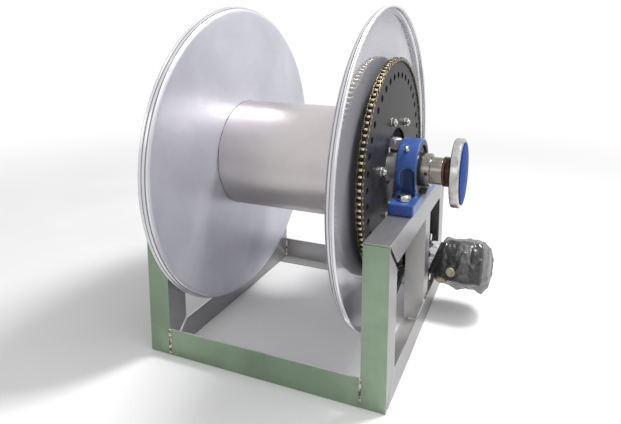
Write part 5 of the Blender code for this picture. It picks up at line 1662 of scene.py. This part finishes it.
class HOSEREEL_OT_motor(bpy.types.Operator):
    """Makes the hydraulic motor: its body, gear ring, end cover and port plugs"""

    bl_idname = "hose_reel.motor"
    bl_label = "Motor"

    def execute(self, context):
        iron = finish_of("iron")
        face = span("motor_plate", 0)[1] + 0.0003
        end = span("motor_body", 0)[1]
        back = face + 0.010
        neck_end = end - 0.035
        pilot, barrel, neck = 0.03785, 0.050, 0.0385
        corners = [
            (face - 0.006, 0, 0), (face - 0.006, pilot), (face, pilot, 0), (face, 0.046),
            (back, 0.046, 0.002), (back, neck, 0.003), (neck_end - 0.012, neck, 0.006),
            (neck_end, barrel, 0.006), (end, barrel, 0.0006), (end, 0, 0),
        ]
        body = lathe(corners, 0.0008, 96, 4, False, MOTOR)
        reach, half = 0.0657, 0.0125
        ears = filleted([(-half, -reach), (half, -reach), (half, reach), (-half, reach)], 0.006)
        ears = [(MOTOR[0] + y, MOTOR[1] + z) for y, z in ears]
        parts = [body, plate([ears], face, back, 0.0008)]
        boss = [(0.040, 0), (0.040, 0.0172, 0), (0.050, 0.0158, 0.002), (0.056, 0.015), (0.056, 0)]
        plug = [
            (0.0562, 0), (0.0562, 0.0115, 0.0004), (0.0605, 0.0110, 0.0008),
            (0.0605, 0.0062, 0.0004), (0.0590, 0.0056, 0.0004), (0.0590, 0, 0),
        ]
        for number, angle in ((1, -142), (2, -175)):
            name = f"port_plug_{number}"
            x = middle(name, 0)
            parts.append(outward(rod(boss, 0.0007, 48), x, angle, MOTOR))
            moulded = outward(rod(plug, 0.0005), x, angle, MOTOR)
            piece(f"{name}_moulded", moulded, finish_of("plug"), "root", "yellow_plastic", name)
        piece("motor_body_cast", merged(parts), iron, "root", "black_iron", "motor_body")
        low, high = span("motor_gear_ring", 0)
        corners = [(low, 0, 0), (low, 0.0525), (high, 0.0525), (high, 0, 0)]
        ring = lathe(corners, 0.0008, 96, 3, False, MOTOR)
        steel = finish_of("motor_steel")
        piece("motor_gear_ring_turned", ring, steel, "root", "black_iron", "motor_gear_ring")
        low, high = span("motor_end_cover", 0)
        corners = [(low, 0, 0), (low, barrel), (high, barrel, 0.004), (high, 0, 0)]
        cover = lathe(corners, 0.0008, 96, 4, False, MOTOR)
        screws = []
        for i in range(7):
            place = (high - 0.0008, *polar(0.040, 2 * math.pi * i / 7, MOTOR))
            screws.append(moved(hexagon(0.0048, -0.002, 0.0008), place))
        piece(
            "motor_end_cover_cast", merged([cover, *screws]), iron, "root", "black_iron",
            "motor_end_cover",
        )
        return {"FINISHED"}


FILM_STATIONS = (
    (0.0, 0.0400), (0.018, 0.0398), (0.075, 0.0396), (0.110, 0.048), (0.20, 0.0560),
    (0.45, 0.0585), (0.70, 0.0590), (0.84, 0.0570), (0.94, 0.0440), (1.0, 0.0180),
)


def film_radius(share):
    """The bag's plain radius at a share of its length, eased between its stations."""
    for (start, before), (end, after) in zip(FILM_STATIONS, FILM_STATIONS[1:]):
        if start <= share <= end:
            blend = (share - start) / (end - start)
            blend = blend * blend * (3 - 2 * blend)
            return before + (after - before) * blend


def fold(value):
    """A soft ridge: sharp on its crest and round in its trough."""
    return (1 - abs(math.sin(value))) ** 1.6


def hump(value, centre, width):
    """1 at the centre, falling evenly to 0 at this width on both sides."""
    return max(0.0, 1 - abs(value - centre) / width)


def film_crease(share, angle, point, body, crease):
    """How far the film stands out from its plain radius: creases, puckers by the tie, a gathered
    bottom, a ruffled open end, and a flap and a corner that hang low."""
    rough = noise.noise(point * 1.1) * 0.5 + noise.noise(point * 2.6 + Vector((4, 0, 0))) * 0.35
    ruck = fold(angle * 4 + 5 * noise.noise(point * 0.9) + share * 3)
    pucker = fold(angle * 17 + 3 * noise.noise(point))
    near_end = max(0.0, (share - 0.72) / 0.28)
    depth = crease * (0.80 * rough * body - 0.22 * (1 - ruck) * body * (1 - near_end))
    depth -= crease * 0.50 * pucker * hump(share, 0.10, 0.13) * (1 if share > 0.085 else 0.12)
    depth -= crease * 0.55 * fold(angle * 7 + 2) * near_end
    if share < 0.017:
        depth += 0.0012 + 0.0014 * math.sin(angle * 11) + 0.0009 * math.sin(angle * 23)
    flap = hump(angle, math.radians(262), 0.55) * hump(share, 0.45, 0.22)
    depth += 0.0085 * flap
    corner = hump(angle, math.radians(232), 0.40) * hump(share, 0.86, 0.14)
    return depth + 0.014 * corner


def film_mesh():
    """The bag from its open end, past the tie, to its gathered bottom."""
    high = span("motor_film", 0)[1]
    tail = high - FILM_LENGTH
    length = FILM_LENGTH - 0.002
    crease = sizes().film_crease
    around, along = 220, 150
    bm = bmesh.new()
    rings = []
    for i in range(along + 1):
        share = i / along
        body = min(1.0, max(0.0, (share - 0.10) / 0.12))
        ring = []
        for k in range(around):
            angle = 2 * math.pi * k / around
            y, z = math.cos(angle), math.sin(angle)
            point = Vector((share * 5.0, y * 1.3, z * 1.3))
            reach = film_radius(share) + film_crease(share, angle, point, body, crease)
            reach = max(0.0393 if share < 0.10 else 0.0150, reach)
            if share < 0.10:
                reach = min(reach, 0.0399 if share > 0.017 else 0.0425)
            square = 1 + 0.10 * body * (abs(y) ** 4 + abs(z) ** 4 - 0.6)
            droop = -0.004 * body * (1 - z) * 0.5
            x = tail + length * share + TIE_LEAN * 0.040 * z * max(0.0, 1 - share * 3.2)
            x += 0.004 * noise.noise(point * 0.8 + Vector((0, 9, 0))) * body
            if share < 0.019:
                loose = 0.0005 + 0.012 * max(0.0, z + 0.3) * (1 + 0.3 * math.sin(angle * 9))
                x -= loose * (1 - share / 0.019)
            place = (MOTOR[0] + reach * y * square, MOTOR[1] + reach * z * square + droop)
            ring.append(bm.verts.new((min(high, x), *place)))
        rings.append(ring)
    skin(bm, rings, ends=False)
    last = rings[-1]
    centre = Vector((0, 0, 0))
    for vert in last:
        centre += vert.co
    tip = bm.verts.new(centre / len(last) - Vector((0.004, 0, 0)))
    for k in range(around):
        bm.faces.new((last[k], last[(k + 1) % around], tip))
    bag = outside_out(bm)
    lowest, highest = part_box("motor_film")
    for vert in bag.vertices:
        for axis in (1, 2):
            vert.co[axis] = max(lowest[axis], min(highest[axis], vert.co[axis]))
    return bag


class HOSEREEL_OT_film(bpy.types.Operator):
    """Makes the creased film bag over the motor and the tie round its neck"""

    bl_idname = "hose_reel.film"
    bl_label = "Film bag"

    def execute(self, context):
        piece(
            "motor_film_bag", film_mesh(), finish_of("film"), "root", "clear_film", "motor_film",
            angle=75,
        )
        start = span("motor_film", 0)[1] - FILM_LENGTH + 0.003
        band = tube(0.0418, 0.0402, start, start + 0.008, 0.0005, 96, 2, MOTOR)
        lean = ((1, 0, TIE_LEAN, -TIE_LEAN * MOTOR[1]), (0, 1, 0, 0), (0, 0, 1, 0), (0, 0, 0, 1))
        band.transform(Matrix(lean))
        piece("cable_tie_band", band, finish_of("nylon"), "root", "black_nylon", "cable_tie")
        return {"FINISHED"}


# ------------------------------------------------------------ frame


FRAME_NODES = (
    "left_front_post", "left_rear_post", "left_bottom_rail", "left_top_beam",
    "right_front_post", "right_rear_post", "right_bottom_rail", "right_top_beam",
    "right_middle_post", "front_cross_rail", "rear_cross_rail", "motor_plate",
)


def frame_beads(size):
    """The weld beads: at the cross rails' ends, along the mitres' foots and heads, round the middle
    post's foot and down the motor plate."""
    beads = []

    def lay(start, end, width, normal, seed):
        beads.append(bead(start, end, width, normal, seed))

    front = span("front_cross_rail", 1)[0]
    rear = span("rear_cross_rail", 1)[1]
    rail_top = span("front_cross_rail", 2)[1]
    rail_low, rail_high = span("front_cross_rail", 0)
    for y, inward in ((front, 1), (rear, -1)):
        face, inside = y + inward * 0.0006, y + inward * 0.004
        for x, way in ((rail_low, 1), (rail_high, -1)):
            near = x + way * 0.0006
            lay((near, face, 0.004), (near, face, rail_top), size, (way, -inward, 0), x * 50)
            lay((near, inside, rail_top - 0.006), (near, inside, 0.006), size * 0.8,
                (way, inward, 0), 3)
    for side in ("left", "right"):
        x_from, x_to = span(f"{side}_bottom_rail", 0)
        top = span(f"{side}_top_beam", 2)[1] - 0.0036
        for y, inward in ((front, 1), (rear, -1)):
            foot_y, head_y = y + inward * 0.0035, y + inward * 0.0036
            lay((x_from + 0.006, foot_y, 0.0035), (x_to - 0.004, foot_y, 0.0035), size * 0.8,
                (0, inward, 1), 7)
            lay((x_from + 0.004, head_y, top), (x_to - 0.006, head_y, top), size * 0.8,
                (0, inward, -1), 9)
    x_from, x_to = span("right_middle_post", 0)
    y_from, y_to = span("right_middle_post", 1)
    foot = span("right_middle_post", 2)[0]
    x, z = x_to + 0.0006, foot + 0.0515
    lay((x, y_from + 0.002, z), (x, y_to - 0.002, z), size, (1, 0, 0.4), 12)
    y, z = y_from + 0.0006, foot + 0.001
    lay((x_from + 0.003, y, z), (x_to - 0.003, y, z), size, (0, -1, 1), 14)
    low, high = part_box("motor_plate")
    x, y = high.x + 0.0008, low.y + 0.0008
    lay((x, y, low.z + 0.004), (x, y, high.z - 0.004), size, (1, 1, 0), 17)
    return beads


class HOSEREEL_OT_frame(bpy.types.Operator):
    """Finishes the welded angle frame: rounded edges, brushed steel and weld beads"""

    bl_idname = "hose_reel.frame"
    bl_label = "Frame"

    def execute(self, context):
        for name in FRAME_NODES:
            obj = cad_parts[name]
            obj.data.materials.clear()
            obj.data.materials.append(finish_of("angle"))
            join = obj.modifiers.new("join", "WELD")
            join.merge_threshold = 0.00001
            edge = obj.modifiers.new("edge", "BEVEL")
            edge.width = sizes().frame_edge
            edge.segments = 3
            edge.limit_method = "ANGLE"
            edge.angle_limit = math.radians(35)
        welds = merged(frame_beads(sizes().weld_radius))
        piece("frame_weld_beads", welds, finish_of("bead"), "root", "brushed_stainless", angle=60)
        return {"FINISHED"}


# ------------------------------------------------------------ stage


def seen_directly(tree):
    """1 for a ray from the camera, in a gloss or through a clear surface, and 0 for light that falls."""
    ray = add(tree, "ShaderNodeLightPath").outputs
    seen = maths(tree, "MAXIMUM", ray["Is Camera Ray"], ray["Is Glossy Ray"])
    return maths(tree, "MAXIMUM", seen, ray["Is Transmission Ray"])


def soft_lamp(name, place, aim, width, height, power):
    """An oblong lamp at a place, aimed at a point."""
    data = bpy.data.lights.new(name, "AREA")
    data.shape = "RECTANGLE"
    data.size = width
    data.size_y = height
    data.energy = power
    lamp = bpy.data.objects.new(name, data)
    bpy.context.scene.collection.objects.link(lamp)
    lamp.location = place
    lamp.rotation_euler = (Vector(aim) - Vector(place)).to_track_quat("-Z", "Y").to_euler()


def make_floor(scene):
    """A pale floor that keeps the reel's shadow and fades into the pale surroundings."""
    bm = bmesh.new()
    bmesh.ops.create_grid(bm, x_segments=8, y_segments=8, size=9)
    bmesh.ops.translate(bm, vec=(0, 0, -0.0006), verts=bm.verts)
    floor = bpy.data.objects.new("pale_floor", mesh_from(bm))
    scene.collection.objects.link(floor)
    material, tree, shader = finish("pale_floor", (0.80, 0.80, 0.80), roughness=0.75)
    grain = cloud(tree, place_of(tree), 3.0, detail=3)
    feed(tree, shader, Base_Color=ramp(tree, grain, [(0.3, 0.78), (0.7, 0.82)]))
    at = add(tree, "ShaderNodeTexCoord").outputs["Object"]
    far = add(tree, "ShaderNodeVectorMath", {0: at}, operation="LENGTH").outputs["Value"]
    fade = ramp(tree, maths(tree, "DIVIDE", far, 5.0), [(0.16, 0.0), (0.62, 1.0)], "EASE")
    glow = add(tree, "ShaderNodeEmission", {"Color": (1, 1, 1, 1), "Strength": 1.0})
    both = add(tree, "ShaderNodeMixShader", {"Fac": times(tree, seen_directly(tree), fade)})
    tree.links.new(shader.outputs["BSDF"], both.inputs[1])
    tree.links.new(glow.outputs["Emission"], both.inputs[2])
    tree.links.new(both.outputs["Shader"], tree.nodes["Material Output"].inputs["Surface"])
    floor.data.materials.append(material)


def make_surroundings(scene):
    """Pale surroundings: white where they are seen, and softer as light on the reel."""
    world = bpy.data.worlds.new("pale_room")
    scene.world = world
    world.use_nodes = True
    tree = world.node_tree
    tree.nodes.clear()
    strength = between(tree, seen_directly(tree), 0.6, 1.0)
    shell = add(tree, "ShaderNodeBackground", {"Color": (1, 1, 1, 1), "Strength": strength})
    add(tree, "ShaderNodeOutputWorld", {"Surface": shell.outputs["Background"]})


def make_camera(scene):
    """A camera in front of the reel, a little to its right and above it."""
    data = bpy.data.cameras.new("camera")
    data.sensor_width = 36
    data.lens = 29.41
    data.shift_x = -0.0557
    data.shift_y = -0.156
    data.dof.use_dof = False
    data.clip_end = 50
    camera = bpy.data.objects.new("camera", data)
    scene.collection.objects.link(camera)
    ahead = Vector((-0.3492, 0.9249, -0.1504)).normalized()
    right = Vector((0.9355, 0.3532, 0)).normalized()
    above = right.cross(ahead).normalized()
    roll = 0.013
    across = right * math.cos(roll) + above * math.sin(roll)
    upward = above * math.cos(roll) - right * math.sin(roll)
    turn = Matrix((across, upward, -ahead)).transposed()
    camera.matrix_world = Matrix.Translation((0.4256, -1.0917, 0.6874)) @ turn.to_4x4()
    scene.camera = camera


class HOSEREEL_OT_stage(bpy.types.Operator):
    """Sets the floor, the soft lamps, the pale surroundings and the camera"""

    bl_idname = "hose_reel.stage"
    bl_label = "Stage"

    def execute(self, context):
        make_floor(context.scene)
        make_surroundings(context.scene)
        soft_lamp("high_lamp", (0.9, 0.53, 2.5), (-0.15, 0, 0.45), 0.5, 0.5, 60)
        soft_lamp("overhead_softbox", (1.1, -0.5, 2.3), (0, 0, 0.4), 1.6, 1.4, 14)
        soft_lamp("front_softbox", (0.3, -2.7, 1.5), (0, 0, 0.4), 1.4, 1.0, 5)
        soft_lamp("right_softbox", (2.6, -0.6, 1.6), (0.1, 0, 0.4), 1.2, 1.2, 5)
        context.scene.view_settings.view_transform = "Standard"
        make_camera(context.scene)
        return {"FINISHED"}


# ------------------------------------------------------------ panel and registration


OPERATORS = (
    HOSEREEL_OT_discs, HOSEREEL_OT_drum, HOSEREEL_OT_shafts, HOSEREEL_OT_inlet,
    HOSEREEL_OT_bearings, HOSEREEL_OT_fasteners, HOSEREEL_OT_sprockets, HOSEREEL_OT_chain,
    HOSEREEL_OT_motor, HOSEREEL_OT_film, HOSEREEL_OT_frame, HOSEREEL_OT_stage,
)


class HOSEREEL_PT_sidebar(bpy.types.Panel):
    """Lists the reel's pieces, sizes and colours"""

    bl_label = "Hose Reel"
    bl_idname = "HOSEREEL_PT_sidebar"
    bl_space_type = "VIEW_3D"
    bl_region_type = "UI"
    bl_category = "Hose Reel"

    def draw(self, context):
        for operator in OPERATORS:
            self.layout.operator(operator.bl_idname)
        for group in (context.scene.hose_reel_sizes, context.scene.hose_reel_colours):
            box = self.layout.box()
            for name in group.__annotations__:
                box.prop(group, name)


CLASSES = (HoseReelSizes, HoseReelColours, *OPERATORS, HOSEREEL_PT_sidebar)


def register():
    for each in CLASSES:
        bpy.utils.register_class(each)
    bpy.types.Scene.hose_reel_sizes = PointerProperty(type=HoseReelSizes)
    bpy.types.Scene.hose_reel_colours = PointerProperty(type=HoseReelColours)


def unregister():
    del bpy.types.Scene.hose_reel_colours
    del bpy.types.Scene.hose_reel_sizes
    for each in reversed(CLASSES):
        bpy.utils.unregister_class(each)


def main():
    register()
    bpy.ops.hose_reel.discs()
    bpy.ops.hose_reel.drum()
    bpy.ops.hose_reel.shafts()
    bpy.ops.hose_reel.inlet()
    bpy.ops.hose_reel.bearings()
    bpy.ops.hose_reel.fasteners()
    bpy.ops.hose_reel.sprockets()
    bpy.ops.hose_reel.chain()
    bpy.ops.hose_reel.motor()
    bpy.ops.hose_reel.film()
    bpy.ops.hose_reel.frame()
    bpy.ops.hose_reel.stage()


if __name__ == "__main__":
    main()
